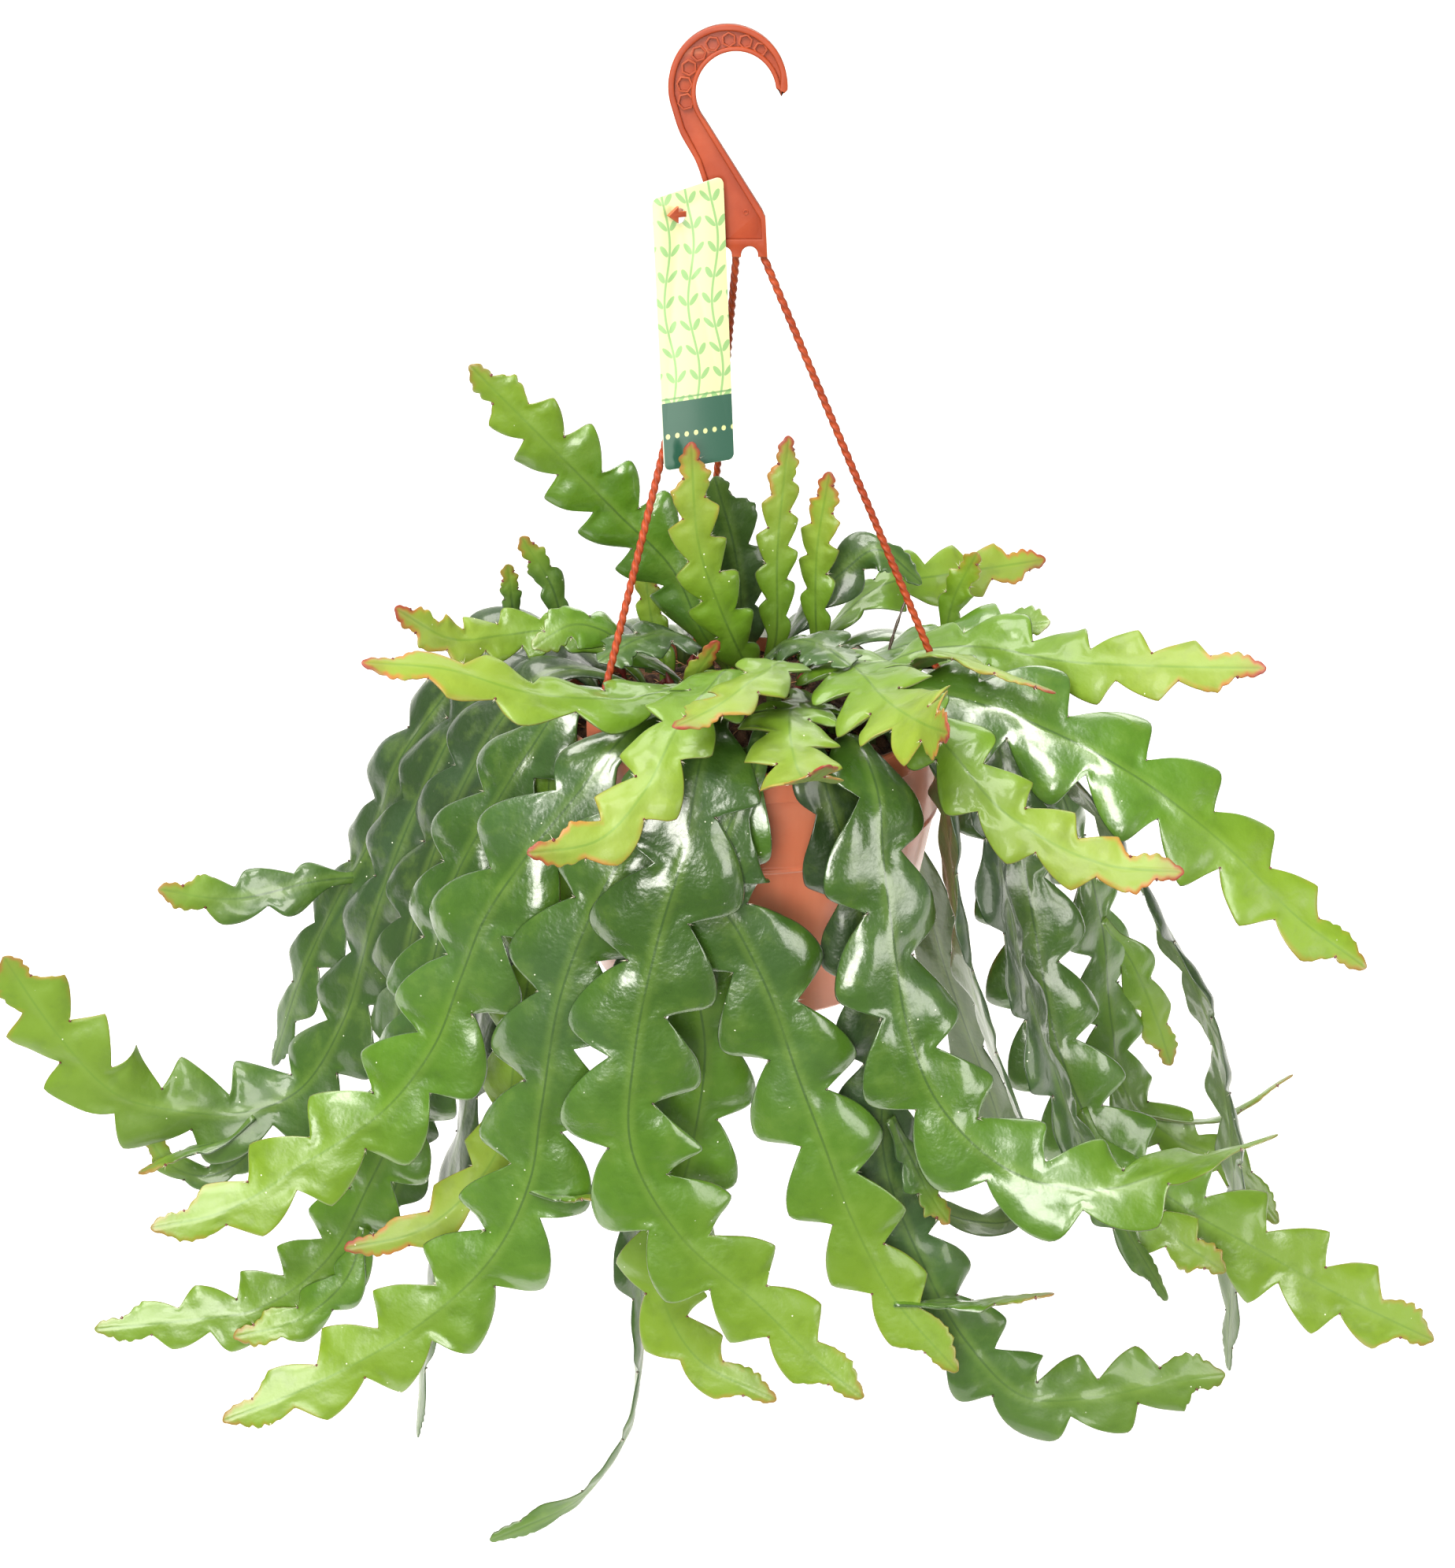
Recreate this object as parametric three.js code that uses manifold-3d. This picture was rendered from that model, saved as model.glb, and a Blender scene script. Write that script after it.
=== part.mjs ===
// Potted ric rac cactus in a hanging pot, in millimetres with +Z up.
// The origin is the seat of the hook, where a rod bears on the top of its inner arc.

import * as THREE from 'three';
import { mergeVertices } from 'three/addons/utils/BufferGeometryUtils.js';
import Module from 'manifold-3d';

const wasm = await Module();
wasm.setup();

// Driving dimensions
const gap = 0.3;
const potAxis = new THREE.Vector2(7, 0);
const rim = { top: -300, bottom: -314, radius: 95, lip: 3 };
const wall = { top: 93.2, ring: 91, base: 76, thickness: 2.5 };
const ring = { height: -349, proud: 1.2 };
const potBottom = -433;
const drain = { count: 6, radius: 4, pitchRadius: 48 };
const soil = { edge: -309, crown: -297, roughness: 1.6 };
const rootFoot = -330;
const rootHole = 6.6;
const hook = { thickness: 8, web: 3.6, innerRadius: 17.5, outerRadius: 26 };
const comb = {
  count: 8, start: 194, turn: 20, x: -1.7, z: -16, radius: 20.8, cell: 3.6, shrink: 0.1, thickness: 0.8,
};
const strap = { side: 3.6, step: 8, turnPerStep: 75 * Math.PI / 180 };
const clip = { width: 12, plate: 2.4, over: 5, lug: 14 };
const strapAngles = { left: 223.5, right: 343.5, back: 103.5 };
const prongs = { left: -11, back: 0.3, right: 12, halfWidth: 2.1, foot: -88 };
const tag = {
  width: 37.5, height: 119, rise: 6, thickness: 0.8, corner: 3, yaw: 34, lean: 4,
  eye: 3.2, eyeDrop: 8.6, eyeAcross: 0.38, rest: 1.2,
};
const frondHeart = new THREE.Vector3(7, 0, -420);

const colours = {
  terracotta: 0xc25a38,
  pot: 0xcb7a5c,
  soil: 0x3a271d,
  tag: 0xf4f1c4,
  old: 0x3c6b45,
  mature: 0x4f8a3a,
  young: 0x86b943,
};

const material = (color, roughness, metalness = 0) =>
  new THREE.MeshStandardMaterial({ color, roughness, metalness });

const group = new THREE.Group();

function addPart(name, geometry, partMaterial) {
  const mesh = new THREE.Mesh(geometry, partMaterial);
  mesh.name = name;
  group.add(mesh);
  return mesh;
}

// Solids joined and cut

function toSolid(geometry) {
  const bare = geometry.clone();
  bare.deleteAttribute('normal');
  bare.deleteAttribute('uv');
  const merged = mergeVertices(bare, 1e-4);
  return new wasm.Manifold(new wasm.Mesh({
    numProp: 3,
    vertProperties: new Float32Array(merged.attributes.position.array),
    triVerts: new Uint32Array(merged.index.array),
  }));
}

function toGeometry(solid) {
  const mesh = solid.getMesh();
  const geometry = new THREE.BufferGeometry();
  geometry.setAttribute('position', new THREE.BufferAttribute(mesh.vertProperties, 3));
  geometry.setIndex(new THREE.BufferAttribute(mesh.triVerts, 1));
  geometry.computeVertexNormals();
  return geometry;
}

const joined = (...geometries) => toGeometry(geometries.map(toSolid).reduce((a, b) => a.add(b)));

function prism(radius, height, sides, x, y, z) {
  const geometry = new THREE.CylinderGeometry(radius, radius, height, sides);
  return geometry.rotateX(Math.PI / 2).translate(x, y, z);
}

function turned(profile, segments) {
  const points = profile.map(([r, z]) => new THREE.Vector2(r, z));
  const geometry = new THREE.LatheGeometry(points, segments).rotateX(Math.PI / 2);
  return geometry.translate(potAxis.x, potAxis.y, 0);
}

// Pot with a rim band, a raised ring and drain holes

function potGeometry() {
  const t = wall.thickness;
  const shell = toSolid(turned([
    [0, potBottom], [wall.base - 2, potBottom], [wall.base, potBottom + 2],
    [wall.ring - 0.4, ring.height - 1.5], [wall.ring + ring.proud, ring.height - 0.5],
    [wall.ring + ring.proud, ring.height + 0.7], [wall.ring + 0.2, ring.height + 1.6],
    [wall.top, rim.bottom], [rim.radius, rim.bottom], [rim.radius, rim.top - 1],
    [rim.radius - 1, rim.top], [rim.radius - rim.lip, rim.top],
    [wall.top - t, rim.bottom], [wall.ring - t, ring.height],
    [wall.base - t, potBottom + t], [0, potBottom + t],
  ], 28));
  const holes = [];
  for (let i = 0; i < drain.count; i += 1) {
    const angle = i * 2 * Math.PI / drain.count;
    const x = potAxis.x + drain.pitchRadius * Math.cos(angle);
    const y = potAxis.y + drain.pitchRadius * Math.sin(angle);
    holes.push(toSolid(prism(drain.radius, 4 * t, 6, x, y, potBottom)));
  }
  return toGeometry(holes.reduce((body, hole) => body.subtract(hole), shell));
}

// Soil with a rough crown and one plain hole for each rooted stem

function soilGeometry(roots) {
  const t = wall.thickness + gap;
  const rings = [88, 66, 43, 20, 0];
  const crown = rings.map((r) => [r, soil.crown + (soil.edge - soil.crown) * (r / 88) ** 2]);
  const body = turned([
    [0, potBottom + t], [wall.base - t, potBottom + t], [wall.ring - t, ring.height],
    [wall.top - t - 0.4, rim.bottom], ...crown,
  ], 28);
  const position = body.attributes.position;
  for (let i = 0; i < position.count; i += 1) {
    const x = position.getX(i);
    const y = position.getY(i);
    const z = position.getZ(i);
    const lump = Math.sin(0.21 * x + 1.3) * Math.cos(0.24 * y) + 0.6 * Math.sin(0.43 * x + 0.37 * y);
    if (z > soil.edge + 0.5) position.setZ(i, z + soil.roughness * lump);
  }
  const holeTop = soil.crown + 20;
  const holeFoot = rootFoot - gap;
  const holes = roots.map(([x, y]) => toSolid(
    prism(rootHole, holeTop - holeFoot, 4, x, y, (holeTop + holeFoot) / 2)));
  return toGeometry(holes.reduce((solid, hole) => solid.subtract(hole), toSolid(body)));
}

// Hook, one flat moulding with a raised border, a honeycomb in its arc and three prongs below

function outlined(shape, corners) {
  corners.forEach(([x, y], i) => (i === 0 ? shape.moveTo(x, y) : shape.lineTo(x, y)));
  shape.closePath();
}

function standing(shape, depth, fromY) {
  const geometry = new THREE.ExtrudeGeometry(shape, { depth, bevelEnabled: false, curveSegments: 6 });
  return geometry.rotateX(Math.PI / 2).translate(0, fromY + depth, 0);
}

const degrees = (value) => value * Math.PI / 180;

function hookOutline() {
  const outline = new THREE.Shape();
  const { innerRadius, outerRadius } = hook;
  const { foot, halfWidth } = prongs;
  outline.moveTo(22.4, -16.2);
  outline.absarc(-3.5, -15, outerRadius, degrees(-2), degrees(196), false);
  outline.splineThru([[-24.6, -34], [-17.6, -46.5], [-13.9, -57]].map(([x, z]) => new THREE.Vector2(x, z)));
  outline.lineTo(prongs.left - halfWidth, foot);
  for (const [from, to] of [[prongs.left, prongs.back], [prongs.back, prongs.right]]) {
    const radius = (to - from) / 2 - halfWidth;
    outline.lineTo(from + halfWidth, foot);
    outline.absarc((from + to) / 2, foot + 1, radius, Math.PI, 0, true);
    outline.lineTo(to - halfWidth, foot);
  }
  outline.lineTo(prongs.right + halfWidth, foot);
  outline.lineTo(13.2, -71);
  outline.lineTo(11.6, -67.5);
  outline.absarc(0, -innerRadius, innerRadius, degrees(219), degrees(7), true);
  outline.lineTo(19, -17);
  outline.lineTo(21, -17.6);
  return outline;
}

function hookRecess() {
  const recess = new THREE.Shape();
  recess.absarc(-3.5, -15, hook.outerRadius - 2.6, degrees(13), degrees(190), false);
  const edge = [
    [-22.6, -32], [-15.4, -45.5], [-11.4, -57], [-11, -80], [11.6, -80], [10.8, -71.5], [-15.4, -29.6],
  ];
  edge.forEach(([x, z]) => recess.lineTo(x, z));
  recess.absarc(0, -hook.innerRadius, hook.innerRadius + 2, degrees(208), degrees(10), true);
  return recess;
}

function hexRing(radius, thickness, x, z, spin) {
  const shape = new THREE.Shape();
  const hole = new THREE.Path();
  for (let i = 0; i < 6; i += 1) {
    const angle = spin + i * Math.PI / 3;
    const place = (r) => [x + r * Math.cos(angle), z + r * Math.sin(angle)];
    if (i === 0) shape.moveTo(...place(radius));
    else shape.lineTo(...place(radius));
    if (i === 0) hole.moveTo(...place(radius - thickness));
    else hole.lineTo(...place(radius - thickness));
  }
  shape.closePath();
  hole.closePath();
  shape.holes.push(hole);
  return shape;
}

// A barbed peg leaves the neck of the hook sideways, bends forward and passes through the eye of the tag
const peg = {
  width: 2.4, root: [-11, -1.4], bend: [-24.4, -6], eye: [-24.4, -20.6], height: -66, reach: 3.4,
  barb: 3.6, head: 7, neck: 1.8, tail: 2, sink: 0.6,
};

function pegGeometry() {
  const w = peg.width / 2;
  const [bendX, bendY] = peg.bend;
  const [eyeX, eyeY] = peg.eye;
  const plan = new THREE.Shape();
  outlined(plan, [
    [peg.root[0], peg.root[1] - w], [peg.root[0], peg.root[1] + w], [bendX - w, bendY + w],
    [bendX - w, eyeY - peg.reach], [bendX + w, eyeY - peg.reach], [bendX + w, bendY - w],
  ]);
  const stalk = new THREE.ExtrudeGeometry(plan, { depth: peg.width, bevelEnabled: false });
  stalk.translate(0, 0, peg.height - w);
  const arrow = new THREE.Shape();
  outlined(arrow, [
    [peg.tail, -w], [peg.tail, w], [-peg.neck, w], [-peg.neck, peg.barb],
    [-peg.head, 0], [-peg.neck, -peg.barb], [-peg.neck, -w],
  ]);
  const head = standing(arrow, 2 * w - 0.4, 0.2 - w).rotateZ(degrees(tag.yaw));
  head.translate(eyeX + peg.sink, eyeY - peg.reach + 0.2, peg.height);
  return joined(stalk, head);
}

function hookGeometry() {
  const half = hook.thickness / 2;
  const depth = (hook.thickness - hook.web) / 2;
  const recess = hookRecess();
  const front = toSolid(standing(recess, depth + 1, -half - 1));
  const back = toSolid(standing(recess, depth + 1, half - depth));
  let body = toSolid(standing(hookOutline(), hook.thickness, -half)).subtract(front).subtract(back);
  for (let i = 0; i < comb.count; i += 1) {
    const angle = degrees(comb.start - comb.turn * i);
    const x = comb.x + comb.radius * Math.cos(angle);
    const z = comb.z + comb.radius * Math.sin(angle);
    const cell = hexRing(comb.cell - comb.shrink * i, comb.thickness, x, z, angle);
    body = body.add(toSolid(standing(cell, depth, 0.5 - half)).intersect(front));
  }
  return toGeometry(body.add(toSolid(pegGeometry())));
}

// Tag, a stiff card with a slanted top edge, hung on the peg

function tagGeometry() {
  const { width: w, height: h, rise, corner: c } = tag;
  const shape = new THREE.Shape();
  shape.moveTo(c, 0);
  shape.lineTo(w - c, 0);
  shape.quadraticCurveTo(w, 0, w, c);
  shape.lineTo(w, h + rise - c);
  shape.quadraticCurveTo(w, h + rise, w - c, h + rise - 0.5);
  shape.lineTo(c, h + 0.5);
  shape.quadraticCurveTo(0, h, 0, h - c);
  shape.lineTo(0, c);
  shape.quadraticCurveTo(0, 0, c, 0);
  const eye = new THREE.Path();
  const eyeX = w * tag.eyeAcross;
  const eyeZ = h - tag.eyeDrop;
  eye.absarc(eyeX, eyeZ, tag.eye, 0, 2 * Math.PI, false);
  shape.holes.push(eye);
  const card = { depth: tag.thickness, bevelEnabled: false, curveSegments: 5 };
  const geometry = new THREE.ExtrudeGeometry(shape, card);
  geometry.rotateX(Math.PI / 2).translate(-eyeX, tag.thickness / 2, -eyeZ);
  geometry.rotateX(degrees(-tag.lean)).rotateZ(degrees(tag.yaw));
  return geometry.translate(peg.eye[0], peg.eye[1], peg.height - tag.rest);
}

// Straps, each a twisted strand that ends in a clip round the band of the rim

function strandGeometry(from, to) {
  const along = to.clone().sub(from);
  const steps = Math.round(along.length() / strap.step);
  const direction = along.clone().normalize();
  const side = new THREE.Vector3().crossVectors(direction, new THREE.Vector3(0, 1, 0)).normalize();
  const other = new THREE.Vector3().crossVectors(direction, side);
  const corner = strap.side / Math.SQRT2;
  const rings = [];
  for (let i = 0; i <= steps; i += 1) {
    const centre = from.clone().addScaledVector(along, i / steps);
    const points = [0, 1, 2, 3].map((j) => {
      const angle = i * strap.turnPerStep + j * Math.PI / 2;
      return centre.clone()
        .addScaledVector(side, corner * Math.cos(angle))
        .addScaledVector(other, corner * Math.sin(angle));
    });
    rings.push(points);
  }
  return skin(rings);
}

function clipGeometry(angle) {
  const { plate, over, width, lug } = clip;
  const outer = rim.radius + gap;
  const section = [
    [outer - over, rim.top + gap], [outer, rim.top + gap], [outer, rim.bottom - gap],
    [wall.top + gap, rim.bottom - gap], [wall.top + gap, rim.bottom - gap - plate],
    [outer + plate, rim.bottom - gap - plate], [outer + plate, rim.top + lug], [outer, rim.top + lug],
    [outer, rim.top + gap + plate], [outer - over, rim.top + gap + plate],
  ];
  const shape = new THREE.Shape();
  section.forEach(([r, z], i) => (i === 0 ? shape.moveTo(r, z) : shape.lineTo(r, z)));
  shape.closePath();
  const geometry = standing(shape, width, -width / 2);
  return geometry.rotateZ(degrees(angle)).translate(potAxis.x, potAxis.y, 0);
}

function strapGeometry(prongX, angle) {
  const radius = rim.radius + gap + clip.plate / 2;
  const foot = new THREE.Vector3(
    potAxis.x + radius * Math.cos(degrees(angle)),
    potAxis.y + radius * Math.sin(degrees(angle)),
    rim.top + clip.lug - 1,
  );
  const top = new THREE.Vector3(prongX, 0, prongs.foot - gap - 1.2);
  return joined(strandGeometry(top, foot), clipGeometry(angle));
}

// Closed skin over rings of four points that run anticlockwise round their path

function skin(rings) {
  const positions = rings.flat().flatMap((p) => [p.x, p.y, p.z]);
  const index = [];
  for (let i = 0; i + 1 < rings.length; i += 1) {
    for (let j = 0; j < 4; j += 1) {
      const a = 4 * i + j;
      const b = 4 * i + (j + 1) % 4;
      const c = b + 4;
      const d = a + 4;
      if (j < 2) index.push(a, b, c, a, c, d);
      else index.push(a, b, d, b, c, d);
    }
  }
  const last = 4 * (rings.length - 1);
  index.push(0, 2, 1, 0, 3, 2, last, last + 1, last + 2, last, last + 2, last + 3);
  const geometry = new THREE.BufferGeometry();
  geometry.setAttribute('position', new THREE.Float32BufferAttribute(positions, 3));
  geometry.setIndex(index);
  return geometry;
}

// Fronds: flat blades along a route, with lobes that alternate left and right of the midrib.
// A lobe starts at a notch, swells forward to a peak past its middle and falls steeply to the next notch.

const lobePeak = 0.65;
const lobeRise = 1.2;
const lobeFall = 1.8;
const lobeStations = [0, 0.3, 0.5, 0.8];
const tipShare = 0.36;
const crowding = 0.22;
const smooth = (from, to, x) => THREE.MathUtils.smoothstep(x, from, to);

function lobe(phase) {
  const f = phase - Math.floor(phase);
  if (f < lobePeak) return Math.sin(Math.PI / 2 * (f / lobePeak) ** lobeRise);
  return Math.cos(Math.PI / 2 * ((f - lobePeak) / (1 - lobePeak)) ** lobeFall);
}

// Where the upper face of a blade looks at a share u of its length. A stem that leaves the soil
// looks back over the pot, then up where it arches, and then the way its frond gives.
function faceAt(frond, u, s, centre, heading) {
  const { faces, arches } = frond;
  let look = centre.clone().sub(frondHeart).normalize();
  if (faces) {
    const place = u * (faces.length - 1);
    const k = Math.min(Math.floor(place), Math.max(0, faces.length - 2));
    const next = faces[Math.min(k + 1, faces.length - 1)];
    look = new THREE.Vector3(...faces[k]).normalize();
    look.lerp(new THREE.Vector3(...next).normalize(), smooth(0, 1, place - k));
  }
  if (!arches) return look;
  const start = heading.clone().negate().lerp(new THREE.Vector3(0, 0, 1), smooth(8, 45, s));
  return start.lerp(look, smooth(45, 110, s));
}

function bladeGeometry(frond) {
  const { route, width, pitch = 36, stem = 50, waist = 0.28, taper = 150, cup = 0.12, thick = 3 } = frond;
  const curve = new THREE.CatmullRomCurve3(route.map((p) => new THREE.Vector3(...p)));
  const length = curve.getLength();
  const lobes = Math.max(3, Math.round((length - stem) / pitch));
  const stations = [];
  const stemRows = Math.max(1, Math.round(stem / 20));
  for (let i = 0; i < stemRows; i += 1) stations.push(stem * i / stemRows);
  for (let i = 0; i < 4 * lobes; i += 1) {
    const share = (Math.floor(i / 4) + lobeStations[i % 4]) / lobes;
    stations.push(stem + (length - stem) * share * (1 + crowding - crowding * share));
  }
  stations.push(length);
  const heading = curve.getPointAt(1).sub(curve.getPointAt(0)).setZ(0).normalize();
  const rings = stations.map((s, i) => {
    const u = s / length;
    const centre = curve.getPointAt(u);
    const tangent = curve.getTangentAt(u);
    const normal = faceAt(frond, u, s, centre, heading);
    normal.addScaledVector(tangent, -normal.dot(tangent)).normalize();
    const side = new THREE.Vector3().crossVectors(tangent, normal);
    const row = i - stemRows;
    const phase = Math.floor(row / 4) + lobeStations[(row + 4) % 4];
    const pointed = 1 - Math.exp((s - length) / (tipShare * Math.min(taper, 0.6 * (length - stem))));
    const grown = smooth(0.3 * stem, 1.5 * stem + 12, s) * pointed;
    const reach = (shift) => {
      if (u === 1) return 1.6;
      const full = row < 0 ? waist : waist + (1 - waist) * lobe(phase + shift);
      return 3.2 + (width - 3.2) * grown * full;
    };
    const rib = thick * (0.5 + 0.25 * (1 - smooth(0, stem, s)) - 0.22 * smooth(0.7, 1, u));
    const edge = (half, sign) => centre.clone()
      .addScaledVector(side, sign * half)
      .addScaledVector(normal, -cup * half);
    return [
      edge(reach(0), -1),
      centre.clone().addScaledVector(normal, rib),
      edge(reach(0.5), 1),
      centre.clone().addScaledVector(normal, -rib),
    ];
  });
  return skin(rings);
}

// A root is an angle and a distance from the axis of the pot
function rootPlace([angle, distance]) {
  return [potAxis.x + distance * Math.cos(degrees(angle)), potAxis.y + distance * Math.sin(degrees(angle))];
}

function rootedRoute(root, route) {
  const [x, y] = rootPlace(root);
  return [[x, y, rootFoot], [x, y, rootFoot + 14], [x, y, soil.crown + 2], ...route];
}

function frondGeometry(frond) {
  const blade = bladeGeometry({ arches: true, ...frond, route: rootedRoute(frond.root, frond.route) });
  const shoots = (frond.shoots ?? []).map((shoot) => bladeGeometry({ stem: 14, ...shoot }));
  return joined(blade, ...shoots);
}

// Every frond: its root, the route of its midrib, the half width of its lobes and where its face looks
const toViewer = [0, -0.9, 0.4];
const edgeOn = [0.78, 0.19, 0.46];
const fronds = [
  // Upright shoots over the middle of the pot
  {
    name: 'frond_upright_left', tone: 'mature', root: [108, 32], width: 24, pitch: 25, stem: 60, arches: false,
    faces: [[-0.35, -1, 0.35]],
    route: [[-15, 25, -275], [-30, 20, -240], [-55, 10, -210], [-85, 0, -175], [-120, -10, -135]],
  },
  {
    name: 'frond_upright_red', tone: 'young', root: [60, 10], width: 15, pitch: 22, stem: 55, arches: false,
    faces: [[0.1, -1, 0.2]],
    route: [[5, -4, -280], [-8, -22, -244], [-17, -31, -212], [-20, -35, -164]],
  },
  {
    name: 'frond_upright_dark', tone: 'old', root: [98, 54], width: 20, pitch: 26, stem: 45, arches: false,
    faces: [[0.1, -1, 0.2]],
    route: [[3, 50, -275], [0, 46, -240], [-10, 40, -200]],
  },
  {
    name: 'frond_upright_mid', tone: 'young', root: [72, 32], width: 11, pitch: 18, stem: 55, arches: false,
    faces: [[0.2, -1, 0]],
    route: [[20, 26, -275], [20, 20, -230], [25, 20, -175]],
  },
  {
    name: 'frond_upright_right', tone: 'young', root: [50, 54], width: 11, pitch: 17, stem: 55, arches: false,
    faces: [[-0.4, -1, 0]],
    route: [[40, 38, -270], [40, 35, -235], [45, 30, -195]],
  },
  {
    name: 'frond_bud_middle', tone: 'young', root: [140, 54], width: 9, pitch: 15, stem: 37, arches: false,
    faces: [[-0.3, -1, 0]],
    route: [[-40, 38, -275], [-45, 35, -235]],
  },
  {
    name: 'frond_back_right', tone: 'young', root: [62, 76], width: 17, pitch: 24, stem: 50,
    faces: [toViewer],
    route: [[56, 70, -280], [75, 74, -266], [105, 85, -264], [160, 100, -260]],
  },
  {
    name: 'frond_back_twisted', tone: 'old', root: [74, 54], width: 14, pitch: 28, stem: 47,
    faces: [[0, 0, 1], [0, -1, 0], [0, -0.5, 1]],
    route: [[36, 54, -272], [54, 54, -252], [70, 50, -240], [92, 46, -256]],
  },
  {
    name: 'frond_front_sprout', tone: 'young', root: [205, 32], width: 6, pitch: 16, stem: 28, arches: false,
    faces: [[0.2, -1, 0]],
    route: [[-20, -20, -282], [-8, -28, -260]],
  },
  // Short broad fronds that lie over the soil
  {
    name: 'frond_crown_left', tone: 'old', root: [140, 22], width: 20, pitch: 30, stem: 56, taper: 50,
    faces: [[0, -0.3, 1]],
    route: [[-18, 9, -276], [-30, -1, -266], [-46, -13, -265], [-64, -27, -271]],
  },
  {
    name: 'frond_crown_right', tone: 'old', root: [250, 14], width: 21, pitch: 30, stem: 56, taper: 50,
    faces: [[0, -0.3, 1]],
    route: [[11, -17, -277], [24, -23, -263], [38, -37, -259], [52, -58, -262]],
  },
  // Fronds that spread low to the left
  {
    name: 'frond_left_tip', tone: 'young', root: [165, 54], width: 15, pitch: 20, stem: 60,
    faces: [[0.1, -0.9, 0.6]],
    route: [[-66, 22, -280], [-90, 20, -272], [-112, 14, -272], [-135, 0, -269], [-160, -10, -250]],
  },
  {
    name: 'frond_left_long', tone: 'young', root: [232, 32], width: 19, pitch: 34, stem: 56,
    faces: [[-0.2, -0.6, 1]],
    route: [[-19, -44, -278], [-51, -80, -270], [-90, -97, -261], [-125, -105, -247], [-160, -115, -240]],
  },
  {
    name: 'frond_left_short', tone: 'mature', root: [172, 32], width: 14, pitch: 28, stem: 52,
    faces: [[0, -1, 0.6]],
    route: [[-50, 8, -278], [-65, 5, -266], [-78, 0, -262], [-96, -10, -270]],
  },
  // Cascade over the left of the rim, from back to front
  {
    name: 'frond_cascade_1', tone: 'old', root: [161, 76], width: 26, pitch: 40,
    faces: [[-0.7, -0.65, 0.3]],
    route: [[-78, 44, -287], [-100, 50, -287], [-125, 48, -294], [-145, 45, -315], [-170, 40, -350],
      [-185, 40, -390], [-205, 40, -425], [-225, 35, -465], [-245, 35, -520]],
    shoots: [
      {
        width: 15, pitch: 28, faces: [toViewer],
        route: [[-195, 40, -412], [-215, 30, -410], [-255, 20, -415], [-290, 10, -405]],
      },
      {
        width: 8, pitch: 22, faces: [[0.2, -1, 0]],
        route: [[-84, 48, -288], [-90, 46, -258], [-104, 40, -230]],
      },
      {
        width: 6, pitch: 20, faces: [[0.2, -1, 0]],
        route: [[-110, 50, -289], [-110, 46, -270], [-111, 40, -244]],
      },
    ],
  },
  {
    name: 'frond_cascade_2', tone: 'old', root: [174, 76], width: 27, pitch: 40, taper: 70,
    faces: [[-0.7, -0.65, 0.3], [-0.6, -0.8, 0.2], toViewer],
    route: [[-88, 20, -288], [-110, 22, -296], [-130, 20, -312], [-152, 15, -350], [-168, 10, -385],
      [-183, 8, -425], [-199, 4, -475], [-225, 0, -515], [-255, -5, -525], [-290, -10, -520],
      [-315, -15, -508], [-340, -20, -470], [-360, -25, -425]],
    shoots: [
      {
        width: 6, pitch: 40, faces: [[0, 0, 1]],
        route: [[-248, -5, -527], [-263, -10, -538], [-283, -14, -543], [-307, -20, -552]],
      },
      {
        width: 8, pitch: 24, faces: [toViewer],
        route: [[-245, -4, -529], [-257, 2, -556], [-277, 0, -566], [-295, -4, -556], [-305, -8, -530]],
      },
    ],
  },
  {
    name: 'frond_cascade_3', tone: 'old', root: [184, 54], width: 26, stem: 80,
    faces: [[-0.55, -0.8, 0.3], [-0.5, -0.85, 0.1]],
    route: [[-72, -2, -284], [-92, -4, -287], [-112, -6, -308], [-138, -10, -355], [-152, -15, -390],
      [-162, -20, -430], [-168, -20, -465], [-168, -20, -510], [-170, -25, -545], [-190, -30, -590]],
  },
  {
    name: 'frond_cascade_4', tone: 'mature', root: [206, 54], width: 25, stem: 75,
    faces: [[-0.5, -0.8, 0.3], [-0.4, -0.9, 0.1], toViewer],
    route: [[-60, -32, -284], [-78, -42, -286], [-96, -50, -308], [-115, -54, -338], [-132, -54, -370],
      [-142, -56, -405], [-150, -60, -440], [-160, -62, -485], [-180, -64, -530], [-205, -66, -575],
      [-240, -70, -600], [-275, -74, -604], [-320, -80, -605]],
    shoots: [
      {
        width: 13, pitch: 24, faces: [toViewer],
        route: [[-184, -66, -555], [-194, -72, -581], [-218, -76, -602], [-251, -80, -610]],
      },
    ],
  },
  {
    name: 'frond_cascade_5', tone: 'mature', root: [236, 54], width: 30, pitch: 42, stem: 96,
    faces: [[-0.45, -0.85, 0.3], [-0.35, -0.9, 0.1], toViewer],
    route: [[-36, -62, -285], [-50, -80, -288], [-72, -93, -312], [-96, -96, -342], [-114, -97, -370],
      [-126, -97, -400], [-140, -98, -435], [-165, -100, -468], [-205, -105, -495], [-240, -112, -515],
      [-275, -120, -520]],
  },
  {
    name: 'frond_low_left', tone: 'young', root: [205, 76], width: 20, pitch: 38, stem: 67,
    faces: [[-0.4, -0.9, 0.2], [-0.3, -0.9, 0.2], toViewer],
    route: [[-77, -42, -291], [-85, -52, -312], [-87, -63, -350], [-94, -73, -395], [-104, -78, -450],
      [-116, -80, -505], [-150, -88, -540], [-190, -92, -550]],
  },
  {
    name: 'frond_behind_left', tone: 'old', root: [192, 76], width: 18, pitch: 58, stem: 64,
    faces: [[-0.7, -0.6, 0.2], [-0.9, -0.3, 0]],
    route: [[-86, -20, -292], [-95, -30, -316], [-103, -38, -370], [-119, -38, -430], [-136, -32, -510],
      [-150, -30, -575], [-163, -30, -650], [-170, -30, -710]],
  },
  // Fronds that hang over the front of the rim
  {
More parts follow.
